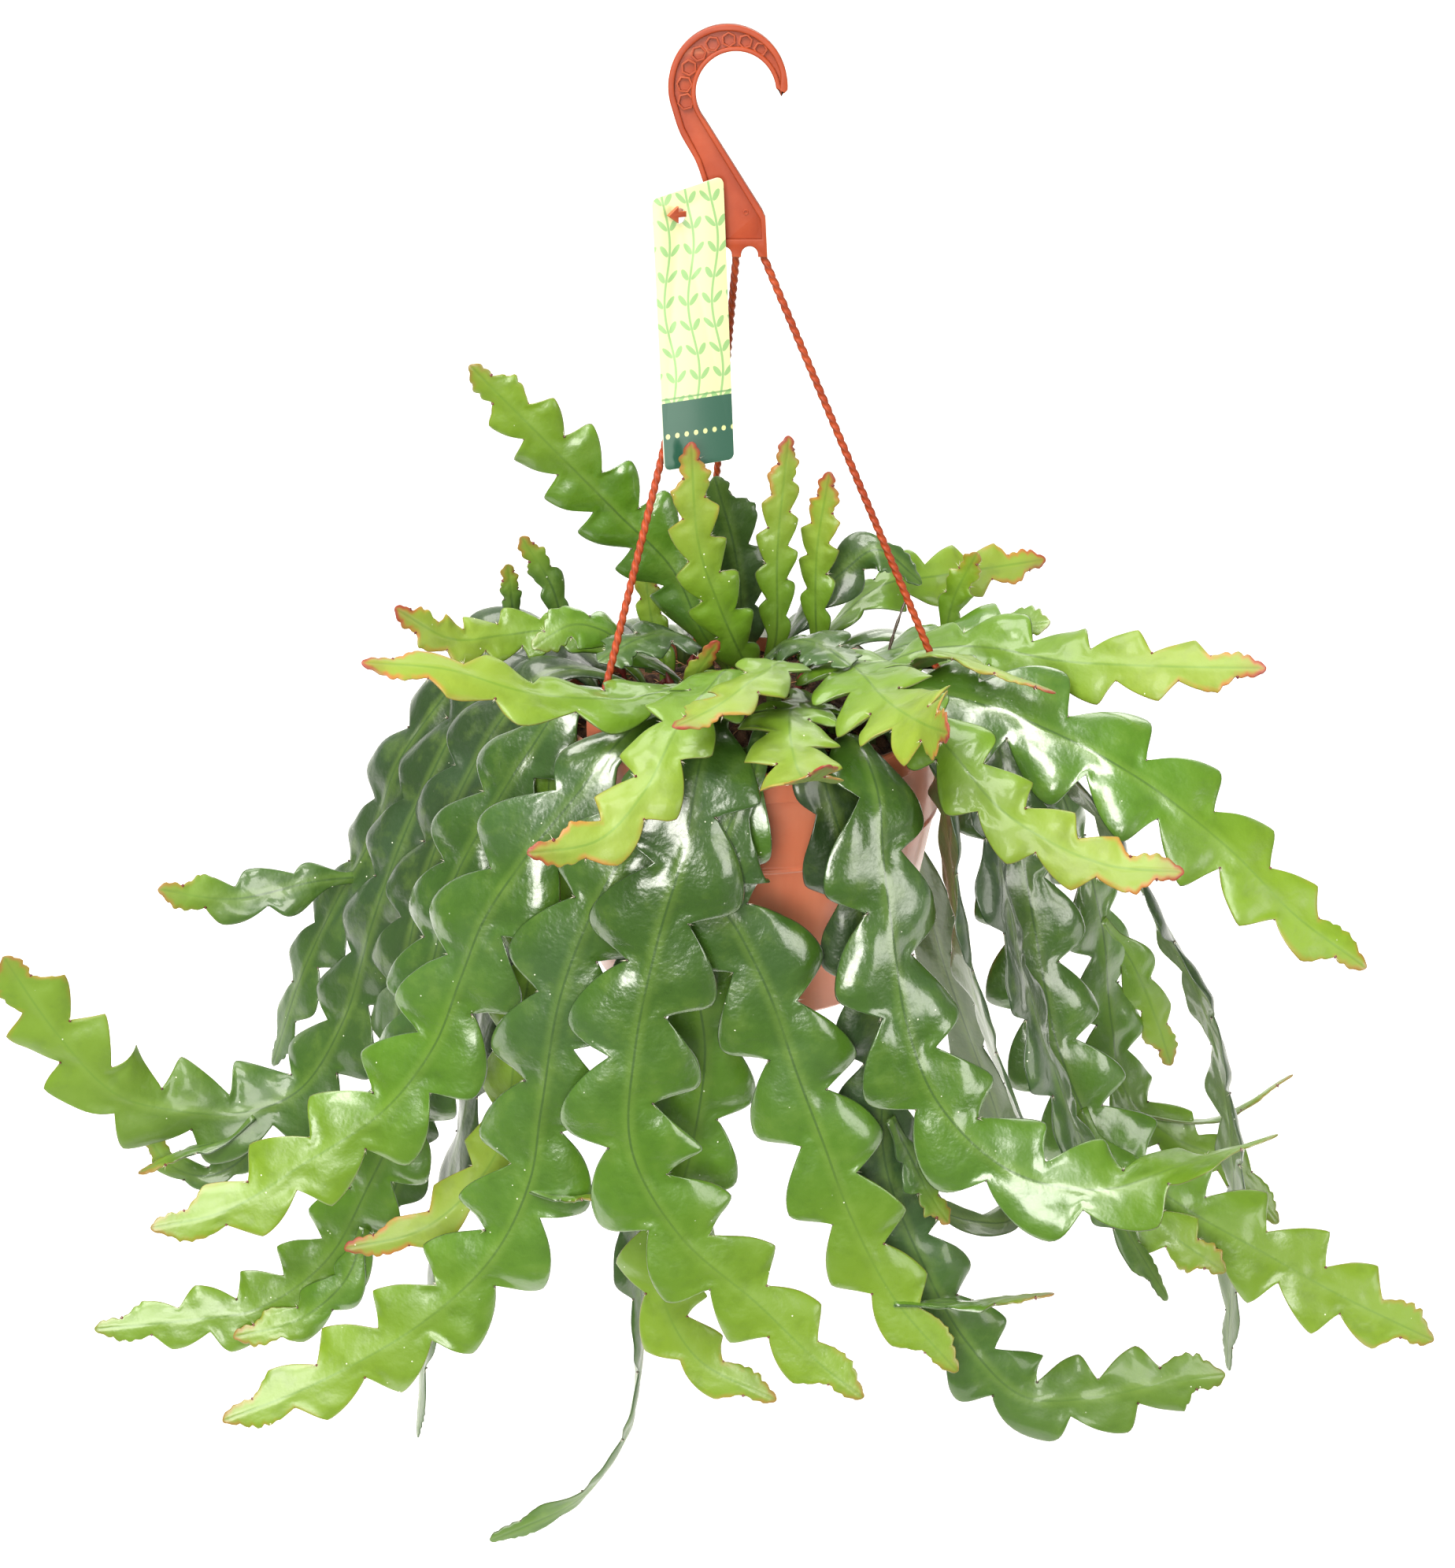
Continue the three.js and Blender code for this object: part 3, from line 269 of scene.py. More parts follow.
frondTable = {
    "upright_left": dict(
        tone="mature", root=(108, 32), width=24, pitch=25, stem=60, arches=False, faces=[(-0.35, -1, 0.35)],
        route=[(-15, 25, -275), (-30, 20, -240), (-55, 10, -210), (-85, 0, -175), (-120, -10, -135)]),
    "upright_red": dict(
        tone="young", root=(60, 10), width=15, pitch=22, stem=55, arches=False, faces=[(0.1, -1, 0.2)],
        route=[(5, -4, -280), (-8, -22, -244), (-17, -31, -212), (-20, -35, -164)]),
    "upright_dark": dict(
        tone="old", root=(98, 54), width=20, pitch=26, stem=45, arches=False, faces=[(0.1, -1, 0.2)],
        route=[(3, 50, -275), (0, 46, -240), (-10, 40, -200)]),
    "upright_mid": dict(
        tone="young", root=(72, 32), width=11, pitch=18, stem=55, arches=False, faces=[(0.2, -1, 0)],
        route=[(20, 26, -275), (20, 20, -230), (25, 20, -175)]),
    "upright_right": dict(
        tone="young", root=(50, 54), width=11, pitch=17, stem=55, arches=False, faces=[(-0.4, -1, 0)],
        route=[(40, 38, -270), (40, 35, -235), (45, 30, -195)]),
    "bud_middle": dict(
        tone="young", root=(140, 54), width=9, pitch=15, stem=37, arches=False, faces=[(-0.3, -1, 0)],
        route=[(-40, 38, -275), (-45, 35, -235)]),
    "back_right": dict(
        tone="young", root=(62, 76), width=17, pitch=24, stem=50, faces=[toViewer],
        route=[(56, 70, -280), (75, 74, -266), (105, 85, -264), (160, 100, -260)]),
    "back_twisted": dict(
        tone="old", root=(74, 54), width=14, pitch=28, stem=47, faces=[(0, 0, 1), (0, -1, 0), (0, -0.5, 1)],
        route=[(36, 54, -272), (54, 54, -252), (70, 50, -240), (92, 46, -256)]),
    "front_sprout": dict(
        tone="young", root=(205, 32), width=6, pitch=16, stem=28, arches=False, faces=[(0.2, -1, 0)],
        route=[(-20, -20, -282), (-8, -28, -260)]),
    "crown_left": dict(
        tone="old", root=(140, 22), width=20, pitch=30, stem=56, taper=50, faces=[(0, -0.3, 1)],
        route=[(-18, 9, -276), (-30, -1, -266), (-46, -13, -265), (-64, -27, -271)]),
    "crown_right": dict(
        tone="old", root=(250, 14), width=21, pitch=30, stem=56, taper=50, faces=[(0, -0.3, 1)],
        route=[(11, -17, -277), (24, -23, -263), (38, -37, -259), (52, -58, -262)]),
    "left_tip": dict(
        tone="young", root=(165, 54), width=15, pitch=20, stem=60, faces=[(0.1, -0.9, 0.6)],
        route=[(-66, 22, -280), (-90, 20, -272), (-112, 14, -272), (-135, 0, -269), (-160, -10, -250)]),
    "left_long": dict(
        tone="young", root=(232, 32), width=19, pitch=34, stem=56, faces=[(-0.2, -0.6, 1)],
        route=[(-19, -44, -278), (-51, -80, -270), (-90, -97, -261), (-125, -105, -247),
               (-160, -115, -240)]),
    "left_short": dict(
        tone="mature", root=(172, 32), width=14, pitch=28, stem=52, faces=[(0, -1, 0.6)],
        route=[(-50, 8, -278), (-65, 5, -266), (-78, 0, -262), (-96, -10, -270)]),
    "cascade_1": dict(
        tone="old", root=(161, 76), width=26, pitch=40, faces=[(-0.7, -0.65, 0.3)],
        route=[(-78, 44, -287), (-100, 50, -287), (-125, 48, -294), (-145, 45, -315), (-170, 40, -350),
               (-185, 40, -390), (-205, 40, -425), (-225, 35, -465), (-245, 35, -520)],
        shoots=[dict(width=15, pitch=28, faces=[toViewer],
            route=[(-195, 40, -412), (-215, 30, -410), (-255, 20, -415), (-290, 10, -405)]),
                dict(width=8, pitch=22, faces=[(0.2, -1, 0)],
            route=[(-84, 48, -288), (-90, 46, -258), (-104, 40, -230)]),
                dict(width=6, pitch=20, faces=[(0.2, -1, 0)],
            route=[(-110, 50, -289), (-110, 46, -270), (-111, 40, -244)])]),
    "cascade_2": dict(
        tone="old", root=(174, 76), width=27, pitch=40, taper=70,
        faces=[(-0.7, -0.65, 0.3), (-0.6, -0.8, 0.2), toViewer],
        route=[(-88, 20, -288), (-110, 22, -296), (-130, 20, -312), (-152, 15, -350), (-168, 10, -385),
               (-183, 8, -425), (-199, 4, -475), (-225, 0, -515), (-255, -5, -525), (-290, -10, -520),
               (-315, -15, -508), (-340, -20, -470), (-360, -25, -425)],
        shoots=[dict(width=6, pitch=40, faces=[(0, 0, 1)],
            route=[(-248, -5, -527), (-263, -10, -538), (-283, -14, -543), (-307, -20, -552)]),
                dict(width=8, pitch=24, faces=[toViewer],
            route=[(-245, -4, -529), (-257, 2, -556), (-277, 0, -566), (-295, -4, -556),
                   (-305, -8, -530)])]),
    "cascade_3": dict(
        tone="old", root=(184, 54), width=26, stem=80, faces=[(-0.55, -0.8, 0.3), (-0.5, -0.85, 0.1)],
        route=[(-72, -2, -284), (-92, -4, -287), (-112, -6, -308), (-138, -10, -355),
               (-152, -15, -390), (-162, -20, -430), (-168, -20, -465), (-168, -20, -510),
               (-170, -25, -545), (-190, -30, -590)]),
    "cascade_4": dict(
        tone="mature", root=(206, 54), width=25, stem=75,
        faces=[(-0.5, -0.8, 0.3), (-0.4, -0.9, 0.1), toViewer],
        route=[(-60, -32, -284), (-78, -42, -286), (-96, -50, -308), (-115, -54, -338),
               (-132, -54, -370), (-142, -56, -405), (-150, -60, -440), (-160, -62, -485),
               (-180, -64, -530), (-205, -66, -575), (-240, -70, -600), (-275, -74, -604),
               (-320, -80, -605)],
        shoots=[dict(width=13, pitch=24, faces=[toViewer],
            route=[(-184, -66, -555), (-194, -72, -581), (-218, -76, -602), (-251, -80, -610)])]),
    "cascade_5": dict(
        tone="mature", root=(236, 54), width=30, pitch=42, stem=96,
        faces=[(-0.45, -0.85, 0.3), (-0.35, -0.9, 0.1), toViewer],
        route=[(-36, -62, -285), (-50, -80, -288), (-72, -93, -312), (-96, -96, -342),
               (-114, -97, -370), (-126, -97, -400), (-140, -98, -435), (-165, -100, -468),
               (-205, -105, -495), (-240, -112, -515), (-275, -120, -520)]),
    "low_left": dict(
        tone="young", root=(205, 76), width=20, pitch=38, stem=67,
        faces=[(-0.4, -0.9, 0.2), (-0.3, -0.9, 0.2), toViewer],
        route=[(-77, -42, -291), (-85, -52, -312), (-87, -63, -350), (-94, -73, -395),
               (-104, -78, -450), (-116, -80, -505), (-150, -88, -540), (-190, -92, -550)]),
    "behind_left": dict(
        tone="old", root=(192, 76), width=18, pitch=58, stem=64, faces=[(-0.7, -0.6, 0.2), (-0.9, -0.3, 0)],
        route=[(-86, -20, -292), (-95, -30, -316), (-103, -38, -370), (-119, -38, -430),
               (-136, -32, -510), (-150, -30, -575), (-163, -30, -650), (-170, -30, -710)]),
    "front_left": dict(
        tone="mature", root=(244, 76), width=30, pitch=42, stem=65,
        faces=[(-0.2, -1, 0.2), (-0.2, -1, 0.1), toViewer],
        route=[(-27, -90, -291), (-35, -107, -309), (-58, -116, -345), (-78, -118, -395),
               (-89, -119, -455), (-96, -120, -495), (-115, -122, -535), (-150, -125, -570),
               (-200, -130, -600), (-245, -140, -615)],
        shoots=[dict(width=8, pitch=30, faces=[(0, 0.38, 0.92)],
            route=[(-97, -117, -500), (-85, -124, -500), (-58, -132, -495)])]),
    "front_main": dict(
        tone="mature", root=(256, 54), width=32, pitch=42, stem=75,
        faces=[(0, -1, 0.2), (0, -1, 0.1), (0.1, -1, 0.3)],
        route=[(-10, -84, -279), (-16, -114, -288), (-23, -130, -322), (-35, -134, -365),
               (-45, -138, -415), (-47, -140, -465), (-25, -142, -510), (10, -144, -545),
               (40, -150, -575), (60, -155, -590)]),
    "front_behind": dict(
        tone="mature", root=(270, 76), width=26, pitch=38, stem=60,
        faces=[(0, -1, 0.2), (0, -1, 0.1), toViewer],
        route=[(7, -94, -292), (-2, -107, -310), (-14, -111, -345), (-18, -111, -390),
               (-14, -110, -430), (-20, -110, -480), (-32, -112, -530), (-35, -114, -560),
               (-18, -118, -595), (20, -124, -615)]),
    "front_centre": dict(
        tone="mature", root=(280, 54), width=30, pitch=42, stem=115,
        faces=[(0.1, -1, 0.2), (0.1, -1, 0.1), toViewer],
        route=[(12, -84, -283), (7, -108, -295), (-5, -120, -318), (-10, -122, -342), (2, -123, -365),
               (15, -124, -394), (28, -126, -434), (40, -128, -468), (54, -130, -508),
               (75, -134, -550), (105, -142, -585)],
        shoots=[dict(width=9, pitch=40, faces=[(0.1, 0.3, 0.9)],
            route=[(74, -134, -552), (110, -128, -556), (150, -132, -548)])]),
    "front_right": dict(
        tone="mature", root=(303, 76), width=29, pitch=42, stem=60,
        faces=[(0.7, -0.7, 0.1), (0.5, -0.85, 0.2), (0.1, -1, 0.3), (0, 0.38, 0.92)],
        route=[(54, -80, -290), (62, -104, -304), (65, -116, -335), (70, -124, -370), (76, -130, -405),
               (92, -134, -445), (125, -142, -475), (165, -150, -480), (200, -154, -465),
               (240, -160, -445)]),
    "front_dark": dict(
        tone="old", root=(289, 76), width=22, pitch=36, stem=60, taper=65,
        faces=[(0.2, -1, 0.1), (0.3, -1, 0.1), toViewer],
        route=[(35, -91, -291), (42, -101, -312), (53, -104, -345), (61, -105, -385), (67, -107, -430),
               (70, -111, -490), (90, -115, -545), (112, -120, -585), (140, -125, -612),
               (175, -130, -608), (205, -135, -596), (232, -140, -588)],
        shoots=[dict(width=11, pitch=30, faces=[(0.7, -0.7, 0.3)],
            route=[(72, -111, -466), (82, -110, -488), (91, -112, -506), (101, -116, -520)])]),
    "front_tail": dict(
        tone="old", root=(257, 76), width=14, pitch=48, stem=67,
        faces=[(0, -1, 0.1), (0, -1, 0), (0.6, -0.8, 0), (1, -0.1, 0), (0.8, -0.5, 0.3)],
        route=[(-14, -92, -291), (-24, -102, -314), (-38, -100, -350), (-46, -99, -405),
               (-50, -97, -470), (-50, -95, -515), (-48, -92, -560), (-46, -90, -605),
               (-56, -90, -665), (-80, -92, -700), (-125, -100, -720)]),
    "front_folded": dict(
        tone="young", root=(258, 32), width=21, pitch=28, stem=60,
        faces=[(0, -0.2, 1), (-0.2, -0.8, 0.8), (0, -1, 0.2)],
        route=[(-2, -54, -266), (-12, -88, -262), (-25, -120, -268), (-40, -142, -290),
               (-58, -152, -306), (-88, -160, -309)]),
    "star_high": dict(
        tone="young", root=(36, 32), width=28, pitch=26, stem=74,
        faces=[(0, 0, 1), (0, 0, 1), (-0.4, 0, 1), (-1, -0.2, 0.1)],
        route=[(42, 0, -274), (49, -30, -268), (56, -64, -263), (66, -108, -261), (77, -150, -254),
               (85, -185, -245)]),
    "star_low": dict(
        tone="young", root=(345, 20), width=24, pitch=26, stem=70, faces=[(0, -0.25, 1)],
        route=[(34, -46, -284), (24, -92, -272), (24, -126, -276), (28, -158, -276), (36, -187, -258)]),
    "front_edge": dict(
        tone="young", root=(292, 30), width=17, pitch=28, stem=70, faces=[(0.2, 0.1, 1)],
        route=[(18, -44, -268), (20, -68, -257), (8, -98, -254), (-8, -126, -256), (-26, -148, -257)]),
    "right_low": dict(
        tone="young", root=(316, 54), width=20, pitch=28, stem=75, faces=[(-0.1, -1, 0.5)],
        route=[(64, -56, -279), (78, -80, -275), (94, -106, -284), (116, -128, -304),
               (155, -145, -320), (190, -155, -320)]),
    "right_top": dict(
        tone="young", root=(10, 54), width=21, pitch=30, stem=54, faces=[(0, -1, 0.7)],
        route=[(78, 2, -280), (98, 1, -274), (120, -10, -270), (150, -34, -268), (190, -58, -262),
               (235, -80, -255)]),
    "right_big": dict(
        tone="mature", root=(334, 54), width=31, pitch=36, stem=60, faces=[(0.3, -1, 0.6)],
        route=[(74, -44, -280), (100, -56, -278), (136, -70, -286), (180, -90, -304),
               (220, -105, -332), (250, -115, -360), (282, -122, -382)]),
    "right_slim": dict(
        tone="young", root=(350, 54), width=12, pitch=24, stem=47, faces=[(0, 0.3, 1)],
        route=[(77, -32, -274), (91, -46, -260), (112, -64, -260), (142, -82, -266)]),
    "right_broad": dict(
        tone="mature", root=(30, 54), width=22, pitch=40, stem=50, faces=[(0, -0.8, 1)],
        route=[(78, 27, -284), (98, 26, -278), (122, 18, -271), (150, 2, -261)]),
    "edge_front": dict(
        tone="old", root=(318, 76), width=21, pitch=44, faces=[edgeOn],
        route=[(80, -64, -289), (92, -76, -306), (98, -84, -335), (104, -90, -378), (120, -95, -435),
               (132, -100, -465), (142, -102, -490)]),
    "edge_dark": dict(
        tone="old", root=(331, 76), width=21, pitch=40, faces=[(0.8, -0.2, 0.4), (0.7, -0.4, 0.3)],
        route=[(94, -44, -289), (110, -56, -306), (120, -66, -345), (132, -76, -400), (152, -82, -460),
               (175, -88, -515), (195, -92, -550), (212, -94, -578)]),
    "right_sweep": dict(
        tone="mature", root=(358, 76), width=28, pitch=38, stem=78, taper=90,
        faces=[(0.4, -0.9, 0.2), (0.3, -0.9, 0.2), toViewer, toViewer],
        route=[(105, -2, -285), (122, -13, -309), (136, -26, -360), (146, -34, -410), (160, -42, -470),
               (185, -46, -520), (225, -55, -550), (265, -62, -572), (300, -70, -590),
               (350, -80, -612)],
        shoots=[dict(width=18, pitch=26, faces=[toViewer],
            route=[(172, -44, -500), (185, -60, -528), (210, -72, -550), (242, -82, -570)])]),
    "right_pale": dict(
        tone="mature", root=(34, 76), width=22, pitch=40, stem=60,
        faces=[(0.8, -0.3, 0.3), (0.8, -0.5, 0), (0.4, -0.9, 0.3), (0, -0.8, 0.6)],
        route=[(98, 50, -290), (124, 50, -308), (154, 44, -345), (176, 38, -392), (190, 35, -440),
               (197, 32, -490), (208, 28, -534), (232, 24, -556), (265, 20, -572), (292, 15, -605)],
        shoots=[dict(width=7, pitch=45, faces=[(0, 0.38, 0.92)],
            route=[(216, 26, -545), (255, 30, -550), (297, 35, -525)]),
                dict(width=13, pitch=28, faces=[(0.2, -1, 0.2)],
            route=[(190, 36, -435), (208, 42, -462), (224, 44, -498), (234, 46, -526)]),
                dict(width=9, pitch=22, faces=[(-0.3, -1, 0)],
            route=[(104, 50, -293), (108, 48, -265), (118, 40, -238)])]),
    "right_long": dict(
        tone="old", root=(18, 76), width=20, pitch=42, stem=66, faces=[edgeOn],
        route=[(103, 24, -290), (130, 19, -306), (160, 10, -336), (186, 2, -370), (210, -4, -410),
               (236, -8, -458), (252, -10, -510), (260, -12, -560), (263, -12, -610), (266, -12, -680)]),
    "rear_1": dict(
        tone="old", root=(131, 76), width=26, pitch=52, stem=65,
        route=[(-52, 84, -288), (-68, 102, -304), (-84, 122, -345), (-98, 136, -390),
               (-110, 146, -440), (-124, 160, -490)]),
    "rear_2": dict(
        tone="old", root=(116, 76), width=26, pitch=52, stem=60,
        route=[(-34, 84, -291), (-42, 104, -308), (-48, 126, -350), (-50, 142, -400), (-48, 154, -450),
               (-38, 170, -495)]),
    "rear_3": dict(
        tone="mature", root=(90, 76), width=26, pitch=52, stem=60,
        route=[(8, 98, -288), (14, 120, -310), (18, 138, -360), (22, 148, -415), (34, 158, -465),
               (54, 172, -505)]),
    "rear_4": dict(
        tone="old", root=(78, 76), width=17, pitch=60,
        route=[(38, 92, -288), (58, 108, -308), (76, 118, -350), (90, 120, -400), (104, 116, -450),
               (116, 108, -492), (163, 100, -656), (135, 94, -655), (101, 90, -636)]),
    "rear_5": dict(
        tone="mature", root=(52, 76), width=25, pitch=52, stem=60,
        route=[(76, 72, -289), (102, 86, -304), (130, 92, -340), (150, 95, -385), (165, 99, -435),
               (184, 104, -480)]),
    "rear_6": dict(
        tone="mature", root=(146, 76), width=25, pitch=52, stem=60,
        route=[(-76, 62, -289), (-100, 80, -308), (-118, 96, -350), (-136, 104, -400),
               (-150, 110, -450), (-170, 120, -495)]),
}


def lobeSwell(phase, point):
    # from the notch the edge swells to its peak and falls again as half a cosine raised to full, which
    # rounds both the notch and the peak; point mixes in a straight sided tooth
    look = frondLook
    f = phase - np.floor(phase)
    x = np.minimum(f, look["lobePeak"]) / look["lobePeak"]
    y = np.clip((f - look["lobePeak"]) / (1 - look["lobePeak"]), 0, 1)
    up = (1 - point) * (0.5 - 0.5 * np.cos(np.pi * x)) ** look["full"] + point * x
    down = (1 - point) * (0.5 + 0.5 * np.cos(np.pi * y)) ** look["full"] + point * (1 - y)
    return np.where(f < look["lobePeak"], up, down)


class Blade:  # one blade along its midrib; a reading takes an array of distances s from the blade's foot
    def __init__(self, route, width, ages, pitch=36, stem=50, taper=150, faces=None, arches=False):
        self.at, self.toward, self.length = midribCurve(route)
        self.width, self.ages, self.stem = width, ages, stem
        self.faces, self.arches = faces, arches
        self.free = self.length - stem
        self.lobes = max(3, round(self.free / pitch))
        self.taper = min(taper, 0.6 * self.free)
        foot, end = self.at(np.array([0.0, 1.0]))
        self.heading = unit((end - foot) * [1, 1, 0])

    def distance(self, lobe):  # where a lobe number starts: lobes crowd toward the tip
        t = lobe / self.lobes
        c = frondLook["crowding"]
        return self.stem + self.free * t * (1 + c - c * t)

    def lobeNumber(self, s):  # the same law read backwards, run on evenly below the first lobe
        c = frondLook["crowding"]
        y = np.clip((s - self.stem) / self.free, 0, 1)
        t = ((1 + c) - np.sqrt((1 + c) ** 2 - 4 * c * y)) / (2 * c)
        return np.where(s >= self.stem, t * self.lobes, (s - self.stem) / (self.free * (1 + c)) * self.lobes)

    def shade(self, u, start=0.35):  # the age at a share of the length, even up to start
        return self.ages[0] + (self.ages[1] - self.ages[0]) * ease(start, 1, u)

    def look(self, s, centre):
        # the way the blade faces: away from the plant's heart, or through the given faces one after the
        # other; an arching stem faces back along its heading at its foot, then up, then the same way
        u = s / self.length
        look = unit(centre - frondHeart)
        if self.faces:
            faces = unit(np.array(self.faces, float))
            place = u * (len(faces) - 1)
            k = np.minimum(place.astype(int), max(0, len(faces) - 2))
            share = ease(0, 1, place - k)[:, None]
            look = faces[k] * (1 - share) + faces[np.minimum(k + 1, len(faces) - 1)] * share
        if not self.arches:
            return look
        up = ease(8, 45, s)[:, None]
        start = -self.heading * (1 - up) + np.array([0, 0, 1.0]) * up
        share = ease(45, 110, s)[:, None]
        return start * (1 - share) + look * share

    def reading(self, s):
        # the half width is the stem's, plus the lobe's swell over the waist, grown in from the stem and
        # narrowed to the tip as 1 - e^-x, with a small row of teeth near the tip and a round end; the two
        # sides read the same law half a lobe apart
        look = frondLook
        s = np.asarray(s, float)
        u = s / self.length
        centre, tangent = self.at(u), self.toward(u)
        normal = self.look(s, centre)
        normal = unit(normal - tangent * np.sum(normal * tangent, axis=1, keepdims=True))
        side = np.cross(tangent, normal)
        number = self.lobeNumber(s)
        pointed = 1 - np.exp((s - self.length) / (look["tipShare"] * self.taper))
        age = self.shade(u, 0.3)
        point = look["point"] * ease(0.45, 1.0, age)
        grown = ease(0.3 * self.stem, 1.5 * self.stem + 12, s) * pointed
        past = np.clip(s - self.length + look["round"], 0, look["round"]) / look["round"]
        tip = np.sqrt(np.clip(1 - past ** 2, 0, 1))
        halves = []
        for shift in (0.0, 0.5):
            swell = np.where(number + shift >= 0, lobeSwell(number + shift, point), 0)
            full = look["waist"] + (1 - look["waist"]) * swell
            thin = look["stemHalf"] - 1.0 * ease(self.length - 30, self.length, s)
            half = thin + (self.width - look["stemHalf"]) * grown * full
            teeth = np.abs(np.sin(np.pi * (s / look["tooth"] + shift))) - 0.5
            near = ease(self.length - look["toothed"], self.length - 8, s)
            half = half * (1 + look["toothShare"] * teeth * near)
            halves.append((half * tip + 0.02, swell * grown))
        return dict(u=u, centre=centre, tangent=tangent, normal=normal, side=side, number=number,
                    halves=halves, grown=grown, tip=tip, age=age)


def bladeBits(bits, blade, seed, keel):
    # across the blade a point lies at share x of the half width and leans forward with x and the lobe;
    # its height over the mid surface is a grooved rib that fades as a bell curve, plus a thin even flesh
    # closed to nothing at the margin, plus a pillow under each lobe; the mid surface droops with x, waves
    # with the lobes and sinks in a crease that runs from each notch to the midrib
    look = frondLook
    rng = np.random.default_rng(seed)
    stemRows = np.arange(0, blade.stem, look["stemRow"])
    lobeRows = blade.distance(np.arange(0, blade.lobes, 1 / look["rowsPerLobe"]))
    tail = blade.length - np.array(look["tailRows"])
    s = np.concatenate([stemRows, lobeRows[lobeRows < tail[0] - 0.6], tail])
    r = blade.reading(s)
    edge = len(look["shares"]) - 1
    ramp = np.arange(edge)
    order = np.concatenate([ramp - edge, ramp, edge - ramp, -ramp])
    under = np.arange(len(order)) > 2 * edge
    columns = np.abs(order)
    left = order < 0
    halfLeft, halfRight = r["halves"][0][0][:, None], r["halves"][1][0][:, None]
    swell = np.where(left, r["halves"][0][1][:, None], r["halves"][1][1][:, None])
    half = np.where(left, halfLeft, halfRight)
    shares, steps = np.array(look["shares"])[columns], np.array(look["steps"])[columns]
    across = np.minimum(half * shares + steps * np.minimum(1, half / 16), half)
    x = across / half
    number, grown, age = r["number"][:, None], r["grown"][:, None], r["age"][:, None]

    fade = 1 - ease(0, 1, s / blade.stem)
    slim = 1 - 0.35 * ease(0.6, 1, r["u"])
    firm = 1 - 0.6 * age
    rib = (look["ribHalf"] * (1 + 0.5 * fade) * slim * keel)[:, None]
    flesh = (look["bladeHalf"] * slim)[:, None] * np.sqrt(np.clip(1 - x ** 12, 0, 1))
    bell = np.exp(-(across / look["ribWidth"]) ** 2)
    bulge = np.sin(np.pi * np.clip(x, 0, 1) ** 1.3) * np.minimum(1, half / 22)
    pillow = look["pillow"] * firm * swell * bulge * np.where(under, 0.3, 1)
    dip = np.exp(-(across / look["grooveWidth"]) ** 2)
    groove = look["groove"] * dip * (1 - fade[:, None]) * np.where(under, 0, 1)
    height = (flesh + np.maximum(rib - flesh, 0) * bell + pillow - groove) * r["tip"][:, None]
    height = np.where(columns == edge, 0, height) * np.where(under, -0.8, 1.0)

    tilt = rng.uniform(0, 2 * np.pi, 2)
    drift = rng.uniform(0, 2 * np.pi, 4)
    scale = np.minimum(1, half / 18) * grown
    pace, start = np.where(left, 0.5, 0.43), np.where(left, tilt[0], tilt[1])
    fold = look["wave"] * np.sin(2 * np.pi * number * pace + start) * x ** 2 * scale
    phase = np.where(left, number, number + 0.5) + 0.12 * (1 - x)
    notch = (0.5 + 0.5 * np.cos(2 * np.pi * phase)) ** 2
    crease = -look["crease"] * notch * np.sin(np.pi * x ** 0.8) * scale
    along = np.sin(2 * np.pi * number * 1.37 + drift[0] + 2.2 * x)
    athwart = np.sin(2 * np.pi * (number * 0.71 + 0.9 * x) + drift[1] + 2.5 * left)
    buckle = look["buckle"] * along * athwart * x * scale
    curl = -look["curl"] * firm * half * x ** 4 * swell * scale
    lift = -look["cup"] * across + fold + crease + buckle + curl + height
    lean = (look["lean"] + 0.14 * age) * half * x ** 2 * swell
    points = (r["centre"][:, None, :]
              + r["side"][:, None, :] * (np.where(left, -1, 1) * across)[..., None]
              + r["tangent"][:, None, :] * lean[..., None]
              + r["normal"][:, None, :] * lift[..., None])

    each = np.zeros(across.shape)
    shade = blade.shade(r["u"])[:, None]
    values = dict(age=shade, margin=half - across, rib=across, under=under * 1.0,
                  toTip=(blade.length - s)[:, None], kind=0.0)
    values = {key: (value + each).ravel() for key, value in values.items()}
    bits.add(points, tubeFaces(*across.shape), **values)
    areoleBits(bits, blade, rng)


